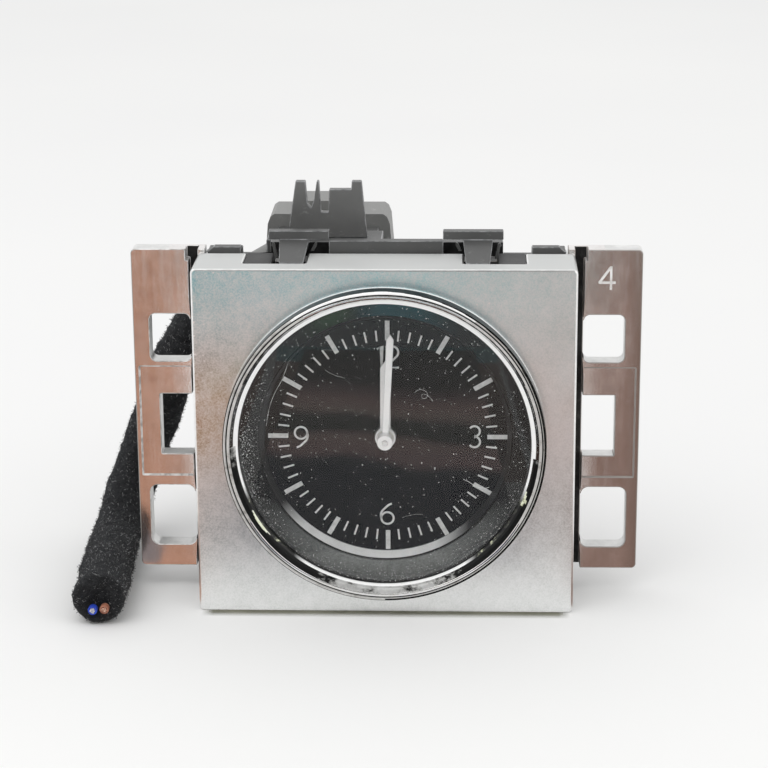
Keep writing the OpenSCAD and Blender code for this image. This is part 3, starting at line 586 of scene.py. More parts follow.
# %% Softened copies
def softened(name, node_name, width, across=(0,), up=(DIAL_UP,), angle=30, segments=2, held=False):
    """A CAD node's form with edges rounded by so many millimetres; held never overlaps."""
    work = bmesh.new()
    work.from_mesh(nodes[node_name].data)
    bmesh.ops.remove_doubles(work, verts=work.verts, dist=2e-6)
    planes = [(spot(x, 0, 0), (1, 0, 0)) for x in across]
    planes += [(spot(0, 0, z), (0, 0, 1)) for z in up]
    for point, normal in planes:
        cut = bmesh.ops.bisect_plane(work, geom=work.verts[:] + work.edges[:] + work.faces[:],
                                     dist=1e-7, plane_co=point, plane_no=normal)
        for item in cut["geom_cut"]:
            if isinstance(item, bmesh.types.BMEdge):
                item.seam = True
    bmesh.ops.dissolve_limit(work, angle_limit=math.radians(1.5), verts=work.verts,
                             edges=work.edges, delimit={"SEAM"})
    made = piece(name, work, angle, outward=False)
    made.data.materials.clear()
    for _ in range(2):
        made.data.materials.append(None)
    bevel = made.modifiers.new("edges", "BEVEL")
    bevel.width = width / 1000
    bevel.segments = segments
    bevel.limit_method = "ANGLE"
    bevel.angle_limit = math.radians(angle)
    bevel.miter_outer = "MITER_ARC"
    bevel.use_clamp_overlap = held
    bevel.material = 1
    even = made.modifiers.new("even_normals", "WEIGHTED_NORMAL")
    even.mode = "FACE_AREA"
    even.weight = 100
    even.keep_sharp = True
    keep(made)
    made.data.calc_loop_triangles()
    drawn = sum(part.area for part in made.data.loop_triangles)
    whole = sum(face.area for face in made.data.polygons)
    print(name, "faces", len(made.data.polygons), "drawn/true area", round(drawn / whole, 4))
    return made


print("cuts go through the dial's axis at", DIAL_UP, "mm up unless a call says otherwise")

# %% [markdown]
# ## The satin front
#
# The front shell is aluminium with a fine satin finish. Close up it has a soft, cloudy
# grain and faint rubbed patches. Its colour also carries painted reflections, warmer on the
# left and cooler near the top, and it is painted lighter along the bottom edge. Low contrast
# noise at several scales gives the clouds, and a very fine one the grain of the blasting.

# %% Satin aluminium
satin = Finish("satin_aluminium", (0.62, 0.63, 0.63), 0.36, 1.0)
clouds = satin.grain(34, 5, 0.6)
hues = satin.grain(55, 4, 0.6, shift=(0.4, 0, 0.2))
patches = satin.grain(190, 7, 0.72, (1, 1, 0.9))
film = satin.grain(620, 6, 0.75, (1, 1, 0.9))
sparkle = satin.grain(3600, 2, 0.7)
leftness = satin.span("X", 0.004, -0.03)
rightness = satin.span("X", 0.004, 0.029)
# Painted reflection by height and side: a warm band on the left and a cool top. Near the bottom
# edge the colour is painted lighter.
warm_reflection_band = satin.where(("Z", 0.055, 0.042), ("Z", 0.02, 0.031))
cool_reflection_top = satin.mix(leftness, (0.78, 0.95, 0.97), (0.64, 0.83, 0.88))
low_tone = satin.mix(leftness, (0.79, 0.785, 0.775), (0.76, 0.78, 0.78))
tone = satin.mix(rightness, (0.93, 0.91, 0.89), 0.93)
for share, other in (
        (satin.both(leftness, warm_reflection_band), (0.73, 0.64, 0.56)),
        (satin.span("Z", 0.038, 0.058), satin.mix(rightness, cool_reflection_top, (0.86, 0.93, 0.93))),
        (satin.span("Z", 0.031, 0.02), low_tone),
        (satin.span("Z", 0.015, 0.003), (0.9, 0.91, 0.9))):
    tone = satin.mix(share, tone, other)
tint = satin.ramp(hues, (0.34, (0.515, 0.48, 0.5)), (0.46, 0.5), (0.55, (0.485, 0.515, 0.49)),
                  (0.68, (0.47, 0.5, 0.525)))
tone = satin.mix(satin.span("Z", 0.014, 0.044), tone, satin.mix(1.0, tone, tint, "OVERLAY"))
for share, field, low, high in ((0.7, clouds, 0.4, 0.6), (0.5, patches, 0.36, 0.64),
                                (0.7, film, 0.3, 0.7), (0.8, sparkle, 0.28, 0.72)):
    tone = satin.mix(share, tone, satin.ramp(field, (0.36, low), (0.64, high)), "OVERLAY")
mottle = satin.ramp(satin.grain(130, 6, 0.68), (0.36, (0.97, 0.97, 0.972)), (0.64, 1.0))
tone = satin.mix(1.0, tone, mottle, "MULTIPLY")
tone = satin.mix(1.0, tone, satin.ramp(sparkle, (0.3, 0.96), (0.7, 1.0)), "MULTIPLY")
bright_specks = satin.where((satin.cells(620), 0.14, 0.09), (satin.grain(45, 3), 0.5, 0.6),
                            ("Z", 0.02, 0.045))
tone = satin.mix(bright_specks, tone, 1.0)
behind = satin.span("Y", -0.01535, -0.0151)
by_clips = satin.span("|X|", 0.026, 0.019)
satin.colour(satin.mix(behind, tone, satin.mix(by_clips, (0.66, 0.67, 0.66), (0.88, 0.89, 0.88))))
satin.roughness(patches, 0.3, 0.44)
satin.relief(satin.sum("ADD", sparkle, film), 0.12, 0.00004)
satin_edge = Finish("bright_edge", (0.86, 0.86, 0.85), 0.28, 1.0).mottled(
    900, (0.3, (0.78, 0.78, 0.77)), (0.7, (0.92, 0.92, 0.91)))
# A darker, duller copy of the satin finish for the walls that face up and down: painted shade.
satin_wall = Finish("satin_wall", (0.62, 0.63, 0.625), 0.5, 0.25)
wall_cloud = satin_wall.grain(90, 6, 0.6, (0.3, 1, 1))
satin_wall.colour(satin_wall.ramp(wall_cloud, (0.3, (0.56, 0.57, 0.565)),
                                  (0.7, (0.61, 0.62, 0.612))))
satin_wall.roughness(wall_cloud, 0.45, 0.6)
satin_wall.relief(satin_wall.grain(3600, 2, 0.7), 0.1, 0.00004)
shell = softened("front_shell", "face_shell", 0.32, angle=28, segments=3)
for face in shell.data.polygons:
    if face.material_index == 0 and abs(face.normal.z) > 0.9:
        face.material_index = 2
wear(shell, satin, satin_edge, satin_wall)
seat(shell, "case", "satin_metal", "face_shell")

# %% [markdown]
# ## Chromed ears
#
# The ears are nickel and chrome on a die casting: nearly a mirror, with slight waves from
# the casting below and fine rubbing marks. They look copper coloured in the photograph,
# because they mirror something warm that lies in front of the clock.

# %% Ear chrome
ear_chrome = Finish("ear_chrome", (0.82, 0.76, 0.72), 0.16, 1.0)
waves = ear_chrome.grain(60, 3, 0.5)
marks = ear_chrome.grain(700, 5, 0.7, (1, 1, 0.12))
pits = ear_chrome.grain(2600, 3, 0.6)
stains = ear_chrome.ramp(ear_chrome.grain(240, 6, 0.72), (0.32, (0.86, 0.85, 0.84)), (0.6, 1.0))
ear_tone = ear_chrome.ramp(waves, (0.3, (0.78, 0.75, 0.74)), (0.5, (0.84, 0.82, 0.81)),
                           (0.72, (0.92, 0.9, 0.9)))
rubbing = ear_chrome.ramp(marks, (0.3, 0.38), (0.7, 0.62))
ear_tone = ear_chrome.mix(0.5, ear_tone, rubbing, "OVERLAY")
ear_tone = ear_chrome.mix(1.0, ear_tone, stains, "MULTIPLY")
to_right_edge = ear_chrome.span("X", 0.0405, 0.0432)
ear_chrome.colour(ear_chrome.mix(to_right_edge, ear_tone, (0.6, 0.58, 0.56)))
ear_chrome.roughness(marks, 0.1, 0.2)
ear_chrome.relief(ear_chrome.sum("ADD", waves, ear_chrome.both(pits, 0.12)), 0.25, 0.0002)
chrome_edge = Finish("chrome_edge", (0.8, 0.79, 0.78), 0.35, 0.1)
edge_tone = chrome_edge.ramp(chrome_edge.grain(900, 5), (0.36, (0.4, 0.38, 0.36)),
                             (0.56, (0.8, 0.79, 0.78)))
edge_tone = chrome_edge.mix(chrome_edge.span("X", 0.0, 0.01), edge_tone,
                            (0.36, 0.33, 0.31))
chrome_edge.colour(chrome_edge.mix(chrome_edge.span("|X|", 0.0429, 0.0432),
                                   edge_tone, (0.3, 0.28, 0.26)))
ear_wall = Finish("ear_wall", (0.72, 0.72, 0.71), 0.35, 0.5).mottled(
    (300, 5, 0.65), (0.3, (0.6, 0.6, 0.59)), (0.7, (0.84, 0.84, 0.83)))
# Near black in the groove beside the shell's side: painted shade.
ear_groove = Finish("ear_groove", 0.006, 0.5).mottled(
    (700, 5, 0.7), (0.5, 0.004), (0.75, (0.05, 0.048, 0.045)))
ears = softened("chromed_ears", "mounting_plate", 0.15, (-37, 0, 37), (12, DIAL_UP, 46.5), 28)
for face in ears.data.polygons:
    x, y = (face.center * 1000).xy
    x = abs(x)
    if 31.9 < x < 33.75 and y < -1.4 and (face.material_index == 0 or x < 33.3):
        if abs(face.normal.x) > 0.5 or y > -1.7:
            face.material_index = 3
    elif face.material_index == 0 and abs(face.normal.y) < 0.3:
        face.material_index = 2
wear(ears, ear_chrome, chrome_edge, ear_wall, ear_groove)
seat(ears, "case", "ear_chrome", "mounting_plate")

# %% [markdown]
# ## Turned pieces
#
# The bezel, the reflector ring and the glass are turned, so their whole form is one profile.
# A closed profile, carried round the dial's axis, gives a ring, and an open one a disc. The
# corners are rounded by short arcs, fine enough that the mirror finish shows no facets.

# %% Turning
def dial_ring(work, radius, back, sides):
    """Vertices of a circle round the dial's axis."""
    return [work.verts.new(spot(x, back, DIAL_UP + z)) for x, z in around(radius, sides)]


def turned(name, profile, steps, angle=24, closed=True):
    """A ring or a disc from a profile of (radius, depth) in millimetres."""
    work = bmesh.new()
    rows = [dial_ring(work, r, back, steps) for r, back in profile]
    if closed:
        skin(work, rows + rows[:1])
    else:
        skin(work, rows, True)
    return piece(name, work, angle)


def bend(centre, radius, start, end, steps=14):
    """Points of an arc, in millimetres and degrees."""
    turns = [math.radians(start + (end - start) * i / steps) for i in range(steps + 1)]
    return [(centre[0] + radius * math.cos(a), centre[1] + radius * math.sin(a)) for a in turns]


def arc(centre, radius, start, end, steps):
    """Points of a profile's arc: 0 degrees is outwards and 90 forwards."""
    return bend(centre, radius, -start, -end, steps)


def on_dial(face):
    """Radius and depth of a face's middle in millimetres, and its angle in degrees."""
    middle = face.center - axis
    return (math.hypot(middle.x, middle.z) * 1000, middle.y * 1000,
            math.degrees(math.atan2(middle.z, middle.x)))


print("an arc of four steps has", len(arc((0, 0), 1, 0, 90, 4)), "points")

# %% [markdown]
# ## The polished bezel
#
# The bezel has a bead round its outer edge, a thin groove, a flat crest, a steep wall and a
# bright ledge that leads down to the glass. Polished metal has hardly any colour of its own,
# so its finish is nearly a mirror, and some of its bands of black and white are the studio
# seen in the curve. The others are painted into the finish by angle round the dial: painted
# shade in the groove, painted dark reflections on the crest, the bead and the outer wall, a
# dimmer chrome on the bead and the crest away from the top, a painted white highlight on the
# ledge, the top of the bead and the foot of the outer wall, and painted glints and dark
# reflections low on the ledge.

# %% Bezel
BEZEL_R, SIGHT_R, LEDGE_R = 27.25, 24.65, 25.0
CREST_R, PROUD = BEZEL_R - 1.1, 2.8
FRONT, LEDGE_FRONT = -2.45, -0.92
CHROME, PAINTED_DARK, HIGHLIGHT, LEDGE, GLINT, DIMMED, OUTER = range(7)
bezel_profile = (
    [(25.4, 2.4), (26.05, 2.4), (26.15, 2.3), (26.15, 0.0), (BEZEL_R, 0.0), (BEZEL_R - 0.04, -0.5)]
    + arc((BEZEL_R - 0.4, 0.27 - PROUD), 0.27, 0, 180, 14)
    + [(CREST_R + 0.3, 0.42 - PROUD), (CREST_R + 0.25, 0.42 - PROUD)]
    + arc((CREST_R + 0.13, 0.12 - PROUD), 0.12, 0, 90, 4)
    + arc((CREST_R - 0.13, 0.14 - PROUD), 0.14, 90, 150, 4)
    + [(CREST_R - 0.5, -2.18), (CREST_R - 0.76, -1.72), (CREST_R - 0.84, -1.62), (25.2, -1.57),
       (25.1, -1.52), (LEDGE_R, -1.47), (SIGHT_R + 0.16, -1.33), (SIGHT_R + 0.04, -1.26),
       (SIGHT_R, -1.1), (SIGHT_R, -0.95), (SIGHT_R + 0.1, -0.9), (25.4, -0.9)]
)
bezel = turned("polished_bezel", bezel_profile, 240)


def glint_width(side):
    """Width in millimetres of the painted glints on the ledge, at an angle round the dial."""
    return max(0.45 * (1 - ((side + 147.5) / 6.5) ** 2), 0.6 * (1 - ((side + 21.5) / 3.2) ** 2))


def dark_bead_width(side):
    """Width of the painted dark reflection on the bead's outer side: none at the top, widest at the
    right.
    """
    from_top = abs((side - 90 + 180) % 360 - 180) / 60
    return 0.13 + (0.37 if abs(side) < 90 else 0.15) * min(from_top, 1)


# Painted shade, painted reflections and painted highlights are placed here by radius, depth and
# angle round the dial.
def bezel_slot(r, back, side):
    """The finish of a face of the bezel, by its radius, depth and angle round the dial."""
    crest_dark_reflection = CREST_R - 0.3 < r < CREST_R - 0.02 and back < -2.5 and 25 < side < 155
    groove = CREST_R + 0.24 < r < BEZEL_R - 0.66 and back < -2.0
    if groove or crest_dark_reflection or (r > BEZEL_R - dark_bead_width(side) and back < -2.4):
        return PAINTED_DARK
    if r > BEZEL_R - 0.2 and FRONT < back < -0.3 and not -160 < side < -20:
        return OUTER
    if r > BEZEL_R - 0.75 and back < FRONT:
        return HIGHLIGHT if 55 < side < 125 else DIMMED
    plain_crest = 60 < side < 120 or -150 < side < -30
    if CREST_R - 0.3 < r < CREST_R + 0.2 and back < FRONT and not plain_crest:
        return DIMMED
    if LEDGE_R < r < LEDGE_R + glint_width(side) and back < LEDGE_FRONT:
        return GLINT
    if LEDGE_R < r < CREST_R - 0.3 and back < LEDGE_FRONT and side < -4:
        return LEDGE
    if back > -0.3 and r > BEZEL_R - 0.15 and 20 < side < 160:
        return HIGHLIGHT
    return HIGHLIGHT if r < CREST_R - 0.78 and back < LEDGE_FRONT else CHROME


for face in bezel.data.polygons:
    face.material_index = bezel_slot(*on_dial(face))
mirror = Finish("bezel_chrome", (0.88, 0.88, 0.87), 0.05, 1.0)
dulling = mirror.grain(420, 5, 0.65)
mirror.colour(mirror.ramp(dulling, (0.25, (0.72, 0.7, 0.66)), (0.6, 0.9)))
mirror.roughness(dulling, 0.05, 0.12)
mirror.relief(mirror.grain(150, 3), 0.12, 0.0001)
# Near black with grime specks: painted shade in the groove and on the cone's rim, and painted dark
# reflections on the crest and the bead.
groove_black = Finish("groove_black", 0.008, 0.5, Specular_IOR_Level=0.06).mottled(
    (1600, 5, 0.7), (0.5, 0.003), (0.64, (0.02, 0.019, 0.017)), (0.74, (0.2, 0.19, 0.17)))
# A pale matt white: a painted highlight on the ledge and the top of the bead.
inner_slope = Finish("inner_slope", 0.95, 0.45)
worn = inner_slope.grain(1100, 5, 0.7)
highlight_tone = inner_slope.ramp(worn, (0.26, (0.6, 0.59, 0.57)), (0.36, (0.93, 0.93, 0.92)),
                              (0.7, 0.99))
inner_slope.roughness(worn, 0.35, 0.5)
# Dark with glints low on both sides: painted dark reflection and painted glints.
low_side_dark = inner_slope.where(("Z", 0.0235, 0.0205), ("|X|", 0.0135, 0.0155))
glints = inner_slope.ramp(inner_slope.grain(520, 4, 0.7), (0.5, 0.004), (0.6, (0.06, 0.062, 0.05)),
                          (0.68, (0.75, 0.78, 0.55)))
inner_slope.colour(inner_slope.mix(low_side_dark, highlight_tone, glints))
# The lower ledge in grey: a painted dimmer reflection, darker towards the lower sides as painted
# dark reflection.
ledge_grey = Finish("ledge_grey", 0.5, 0.35, 0.4)
dark_side_patches = ledge_grey.where(("|X|", 0.008, 0.0155, 0.0, 0.4), ("Z", 0.031, 0.0235))
ledge_light = ledge_grey.sum("SUBTRACT", ledge_grey.grain(420, 5, 0.7, (1, 1, 1.6)), dark_side_patches)
ledge_grey.colour(ledge_grey.ramp(ledge_light, (0.34, 0.004), (0.4, (0.25, 0.25, 0.24)),
                                  (0.5, (0.55, 0.55, 0.54)), (0.7, (0.75, 0.75, 0.74))))
# Painted glints on the ledge.
glint = Finish("ledge_glint", (0.8, 0.84, 0.6), 0.25, 0.2).mottled(
    (700, 4, 0.7), (0.34, (0.02, 0.02, 0.015)), (0.42, (0.7, 0.73, 0.5)), (0.6, (0.95, 0.97, 0.85)))
# A dimmer chrome with fine marks on the bead and the crest away from the top: a painted dimmer
# reflection.
dim_chrome = Finish("rubbed_chrome", (0.6, 0.6, 0.59), 0.4, 0.2)
dim_marks = dim_chrome.grain(620, 5, 0.7)
dim_chrome.colour(dim_chrome.ramp(dim_marks, (0.32, (0.3, 0.29, 0.27)), (0.42, (0.5, 0.49, 0.47)),
                          (0.7, (0.66, 0.66, 0.65))))
dim_chrome.roughness(dim_marks, 0.3, 0.5)
# A dark chrome on the outer wall: a painted dark reflection.
outer_dark = Finish("outer_dark", (0.06, 0.06, 0.063), 0.12, 1.0).mottled(
    (260, 4, 0.6), (0.35, (0.045, 0.045, 0.048)), (0.7, (0.08, 0.08, 0.084)))
wear(bezel, mirror, groove_black, inner_slope, ledge_grey, glint, dim_chrome, outer_dark)
seat(bezel, "case", "bezel_chrome", "bezel_ring")
print("bezel faces", len(bezel.data.polygons))

# %% [markdown]
# ## The reflector ring
#
# Between the bezel and the dial lies a stepped ring. Its flat part is a dusty satin grey,
# painted near black above the bottom as painted shade, with painted teal and green
# reflections at the top. Its conical wall, which faces the dial, is painted light low down
# as a painted highlight and near black elsewhere, with a painted shade line round its rim.

# %% Reflector ring
FLANGE_R, CONE_R, DIAL_R = 24.5, 21.3, 20.45
ring_profile = [
    (CONE_R + 0.3, 2.7), (FLANGE_R, 2.7), (FLANGE_R, 0.5), (FLANGE_R + 0.6, 0.5),
    (FLANGE_R + 0.6, 5.0), (DIAL_R + 0.8, 5.0), (DIAL_R + 0.8, 4.7), (DIAL_R, 5.0),
    (DIAL_R + 0.06, 4.86), (CONE_R - 0.06, 2.86), (CONE_R + 0.02, 2.78), (CONE_R + 0.08, 2.95),
    (CONE_R + 0.24, 2.95),
]
reflector = turned("reflector", ring_profile, 220)
for face in reflector.data.polygons:
    r, back, side = on_dial(face)
    if DIAL_R < r < CONE_R - 0.03 and back < 4.9:
        face.material_index = 1
    # The rim of the cone carries a painted shade line.
    elif CONE_R - 0.03 <= r < CONE_R + 0.26 and back < 3:
        face.material_index = 2
ring_satin = Finish("ring_satin", (0.1, 0.11, 0.105), 0.42, 0.6, Specular_IOR_Level=0.15)
ring_clouds = ring_satin.grain(300, 6, 0.7)
ring_specks = ring_satin.grain(2400, 3, 0.6)
ring_tone = ring_satin.ramp(ring_clouds, (0.3, (0.15, 0.16, 0.155)), (0.7, (0.23, 0.24, 0.235)))
# Near black above the bottom: painted shade.
ring_tone = ring_satin.mix(ring_satin.span("Z", 0.009, 0.02), ring_tone, 0.006)
# Teal and green patches at the top: painted reflections.
for left, right, reflected_hue in (((-0.006, -0.001), (0.013, 0.006), (0.009, 0.049, 0.059)),
                         ((-0.015, -0.01), (-0.004, -0.008), (0.015, 0.044, 0.018))):
    part = ring_satin.where(("X", *left), ("X", *right), ("Z", 0.046, 0.053))
    ring_tone = ring_satin.mix(part, ring_tone, reflected_hue)
speckle = ring_satin.ramp(ring_specks, (0.3, 0.3), (0.75, 0.72))
ring_satin.colour(ring_satin.mix(0.6, ring_tone, speckle, "OVERLAY"))
ring_satin.roughness(ring_clouds, 0.34, 0.5)
ring_satin.relief(ring_specks, 0.15, 0.00005)
cone_grey = Finish("cone_grey", (0.3, 0.31, 0.31), 0.5)
# Light only low down: a painted highlight, and near black elsewhere.
cone_highlight = cone_grey.where(("Z", 0.0187, 0.0145), ("X", 0.0142, 0.0082))
cone_grey.colour(cone_grey.mix(cone_highlight, 0.012, cone_grey.ramp(
    cone_grey.grain(400, 4, 0.6), (0.3, (0.82, 0.83, 0.82)), (0.7, (0.96, 0.97, 0.96)))))
wear(reflector, ring_satin, cone_grey, groove_black)
seat(reflector, "case", "ring_satin", "reflector_ring")
print("reflector faces", len(reflector.data.polygons))

# %% [markdown]
# ## Dial print
#
# Sixty ticks stand round the dial: twelve broad long ones and forty-eight thin short ones.
# This is what Geometry Nodes are good at. One small bar is put on points of a circle and
# turned towards the axis, and every fifth point is kept or left out, so the same tree
# prints both kinds. The ink stands a few hundredths of a millimetre off the dial.

# %% Tick tree
ticks = Growth("dial_ticks", Inner=0.0167, Outer=0.02045, Width=0.00076, Thickness=0.00004, Long=1)
given = ticks.given
round_line = ticks.node("MeshCircle", Vertices=60,
                        Radius=ticks.both(ticks.sum("ADD", given["Inner"], given["Outer"]), 0.5))
long_side = ticks.sum("SUBTRACT", given["Outer"], given["Inner"])
bar_size = ticks.node("ShaderNodeCombineXYZ", None, long_side, given["Width"],
                      given["Thickness"])
bar = ticks.node("MeshCube", Size=bar_size.outputs[0])
fifth = ticks.sum("MODULO", ticks.node("InputIndex").outputs[0], 5)
chosen = ticks.node("FunctionNodeCompare", {"data_type": "INT", "operation": "EQUAL"})
ticks.give(chosen.inputs[2], ticks.sum("LESS_THAN", fifth, 0.5))
ticks.give(chosen.inputs[3], given["Long"])
facing = ticks.node("FunctionNodeAlignEulerToVector", {"axis": "X"},
                    Vector=ticks.node("InputPosition").outputs[0])
ticks.plant(Points=round_line.outputs[0], Instance=bar.outputs[0], Selection=chosen.outputs[0],
            Rotation=facing.outputs[0])
print("tick tree nodes", len(ticks.tree.nodes))

# %% [markdown]
# Prints are drawn flat round the origin, in millimetres, and then laid on the clock.

# %% Print the ticks
PRINT_TURN = math.radians(-0.1)
PRINT_DEPTH = 4.98
dial_ink = Finish("dial_ink", (0.62, 0.63, 0.62), 0.55).mottled(
    1500, (0.3, (0.5, 0.51, 0.5)), (0.7, (0.72, 0.73, 0.72)))


def lay(made, place):
    """Moves each vertex, given in millimetres, to its place on the clock."""
    for vert in made.data.vertices:
        vert.co = place(*(vert.co * 1000))
    return made


def print_spot(x, y, out, right=0.0, lift=0.0):
    """The place on the dial of a point of a flat print."""
    level = x * math.cos(PRINT_TURN) - y * math.sin(PRINT_TURN)
    raised = x * math.sin(PRINT_TURN) + y * math.cos(PRINT_TURN)
    return spot(level + right, PRINT_DEPTH - out, DIAL_UP + raised + lift)


for name, long, inner, outer, width in (("hour_ticks", 1, 0.01675, 0.02015, 0.00078),
                                        ("minute_ticks", 0, 0.01665, 0.0185, 0.0003)):
    blank = add_object(name, bpy.data.meshes.new(name))
    made = grow(blank, ticks, dial_ink, Inner=inner, Outer=outer, Width=width, Long=long)
    seat(lay(made, lambda x, y, out: print_spot(x, y, out, 0.35, -0.14)), "case", "hand_white")
    print(name, len(made.data.polygons) // 6)

# %% [markdown]
# ## Numbers
#
# The four numbers are plain sans serif figures with thin, even strokes. A text object would
# do, but its strokes are too heavy here, so each figure is drawn as a line, as a draughtsman
# would with a stencil, and given a width and a thickness.

# %% Figures
FIGURES = {
    "1": [[(-0.62, 1.28), (0.12, 1.8), (0.12, -1.8)]],
    "2": [bend((0.0, 0.78), 1.02, 160, -38, 16) + [(-1.05, -1.78), (1.12, -1.78)]],
    "3": [bend((-0.06, 0.92), 0.88, 145, -90) + bend((-0.06, -0.9), 0.92, 90, -145)],
    "6": [[(0.72, 1.76), (0.15, 1.5)] + bend((0.3, -0.3), 1.4, 128, 185, 8)
          + bend((0.0, -0.76), 1.02, 180, 540, 24)],
}
FIGURES["9"] = [[(-x, -z) for x, z in line] for line in FIGURES["6"]]
DIGIT_GAP, DIGIT_HIGH, STROKE, INK = 1.85, 1.03, 0.34, 0.03


def ribbon(work, line, width, thick):
    """A flat band of even width along a line, closed all round."""
    rows = []
    for i, (x, y) in enumerate(line):
        before, after = line[max(i - 1, 0)], line[min(i + 1, len(line) - 1)]
        run = Vector((after[0] - before[0], after[1] - before[1])).normalized()
        sideways = Vector((-run.y, run.x))
        if 0 < i < len(line) - 1:
            first = Vector((x - before[0], y - before[1])).normalized()
            sideways = sideways / max(0.5, abs(sideways.dot(Vector((-first.y, first.x)))))
        half = width / 2
        rows.append([work.verts.new(Vector((x + sideways.x * h, y + sideways.y * h, z)) / 1000)
                     for h, z in ((-half, 0), (-half, thick), (half, thick), (half, 0))])
    skin(work, rows, True)


for name, digits, centre in (("figure_12", "12", (0.2, 13.75)), ("figure_3", "3", (15.0, -0.1)),
                             ("figure_6", "6", (0.26, -13.92)), ("figure_9", "9", (-14.25, -0.4))):
    work = bmesh.new()
    for n, digit in enumerate(digits):
        shift = (n - (len(digits) - 1) / 2) * DIGIT_GAP
        for line in FIGURES[digit]:
            ribbon(work, [(centre[0] + shift + x * DIGIT_HIGH, centre[1] + y * DIGIT_HIGH)
                          for x, y in line], STROKE, INK)
    seat(lay(wear(piece(name, work), dial_ink), print_spot), "case", "hand_white")
print("figures", sorted(FIGURES))

# %% [markdown]
# ## Moulded black plastic
#
# The carrier, guard, rear housing and plug are glass filled nylon. It is a dark grey black
# with a fine spark eroded texture, slightly glossy, and its edges are paler: rubbed where
# parts were clipped together, and with a painted highlight. Faint flow clouds vary the gloss.
# The guard, the hood and the hooks get lighter copies of the same plastic, as painted light,
# and the recesses and tab tops by the clips are near black, as painted shade. The plug's hood
# holds the latch's pins with little room, so its rounding is held back.

# %% Black plastic
def moulded(name, colour, rough=0.42):
    finish = Finish(name, colour, rough)
    flow = finish.grain(60, 4, 0.6)
    marks_on_it = finish.grain(420, 6, 0.72, (1, 1, 2))
    tone = finish.ramp(flow, (0.3, tuple(c * 0.7 for c in colour)), (0.7, colour))
    finish.colour(finish.mix(finish.span(marks_on_it, 0.6, 0.78, 0, 0.5), tone,
                             tuple(min(1, c * 2.6 + 0.02) for c in colour)))
    finish.roughness(flow, rough - 0.08, rough + 0.1)
    return finish.relief(finish.grain(5200, 3, 0.6), 0.35, 0.00006)


black_plastic = moulded("black_plastic", (0.098, 0.099, 0.098))
# Lighter copies of the same black plastic, for the guard, the hooks and the hood: painted light.
pale_plastic = moulded("pale_plastic", (0.17, 0.171, 0.168))
hood_plastic = moulded("hood_plastic", (0.235, 0.236, 0.23))
# A near black copy for the tab tops by the clips: painted shade.
tab_plastic = moulded("tab_plastic", (0.014, 0.014, 0.015), 0.5)
# Paler edges: partly rubbed, partly a painted highlight.
plastic_edge = Finish("rubbed_edge", (0.25, 0.255, 0.26), 0.3).mottled(
    700, (0.36, (0.09, 0.092, 0.095)), (0.64, (0.28, 0.285, 0.29)))
# Near black for the recesses beside the clip stems: painted shade.
recess_black = Finish("recess_black", 0.004, 0.7).mottled(900, (0.4, 0.003), (0.75, 0.02))
for name, node_name, body, width, cuts, ups, plastic in (
        ("clip_carrier", "carrier", "case", 0.13, (-26, -15, 0, 15, 26), (4, DIAL_UP, 56.4),
         black_plastic),
        ("guard_fins", "latch_guard", "case", 0.13, (-12.6,), (63,), pale_plastic),
        ("rear_cup", "rear_housing", "case", 0.2, (-11, 0), (DIAL_UP, 54), black_plastic),
        ("plug_hood", "plug_cover", "case", 0.25, (-11,), (53, 63), hood_plastic),
        ("plug_core", "plug_body", "case", 0.12, (-11,), (54,), black_plastic),
        ("latch_lever", "plug_latch", "latch", 0.12, (-11,), (54,), black_plastic)):
    made = softened(name, node_name, width, cuts, ups, held=name == "plug_hood")
    seat(wear(made, plastic, plastic_edge), body, "black_plastic", node_name)
    if name == "clip_carrier":
        wear(made, black_plastic, plastic_edge, recess_black, tab_plastic)
        for face in made.data.polygons:
            x, y, z = face.center * 1000
            if face.normal.y < -0.9 and 15.3 < y - FACE_DEPTH < 15.6 and z > 56.4:
                face.material_index = 2
            if face.normal.z > 0.9 and 59.4 < z < 60.36 and 18 < abs(x) < 25 and y < -1:
                face.material_index = 3

# %% [markdown]
# ## Spring hooks
#
# Small spring hooks stand in the dark recesses on both sides of each clip's stem. Each is a
# leaning blade with a barb at its tip, an outline given a thickness.

# %% Spring hooks
HOOK_FRONT, HOOK_THICK = 13.4, 0.7
HOOKS = {
    "outer": [(18.2, 58.2), (19.0, 58.2), (19.3, 61.0), (19.55, 61.2), (19.35, 61.8),
              (18.95, 61.5)],
    "inner": [(12.9, 60.3), (12.3, 60.3), (11.8, 61.2), (11.75, 61.9), (12.1, 61.7), (12.5, 61.0)],
}
for tag, way in (("left", -1), ("right", 1)):
    for title, outline in HOOKS.items():
        work = bmesh.new()
        skin(work, [[work.verts.new(spot(way * x, back, z)) for x, z in outline]
                    for back in (HOOK_FRONT, HOOK_FRONT + HOOK_THICK)], True)
        bmesh.ops.recalc_face_normals(work, faces=work.faces)
        bmesh.ops.bevel(work, geom=work.edges[:], offset=0.00005, segments=1, affect="EDGES")
        hook = piece(tag + "_" + title + "_hook", work)
        # The hooks take the lighter copy of the plastic: painted light.
        seat(wear(hook, pale_plastic), "case", "black_plastic")
print("hooks beside the clips:", 2 * len(HOOKS))

# %% [markdown]
# ## The dial
#
# The dial is screen printed matt black. Under the lamp of a camera it is never quite
# black: a slight warm sheen lies across its upper half in level bands, and dies out below.
# The sheen is painted into the dial's colour as painted reflection, with a teal tint at the top.

# %% Dial and hands
dial_black = Finish("dial_black", (0.012, 0.0105, 0.011), 0.5, Specular_IOR_Level=0.03)
drift = dial_black.span(dial_black.grain(70, 3, 0.5, (0.6, 1, 2.5)), 0.3, 0.7, -0.0022, 0.0022)
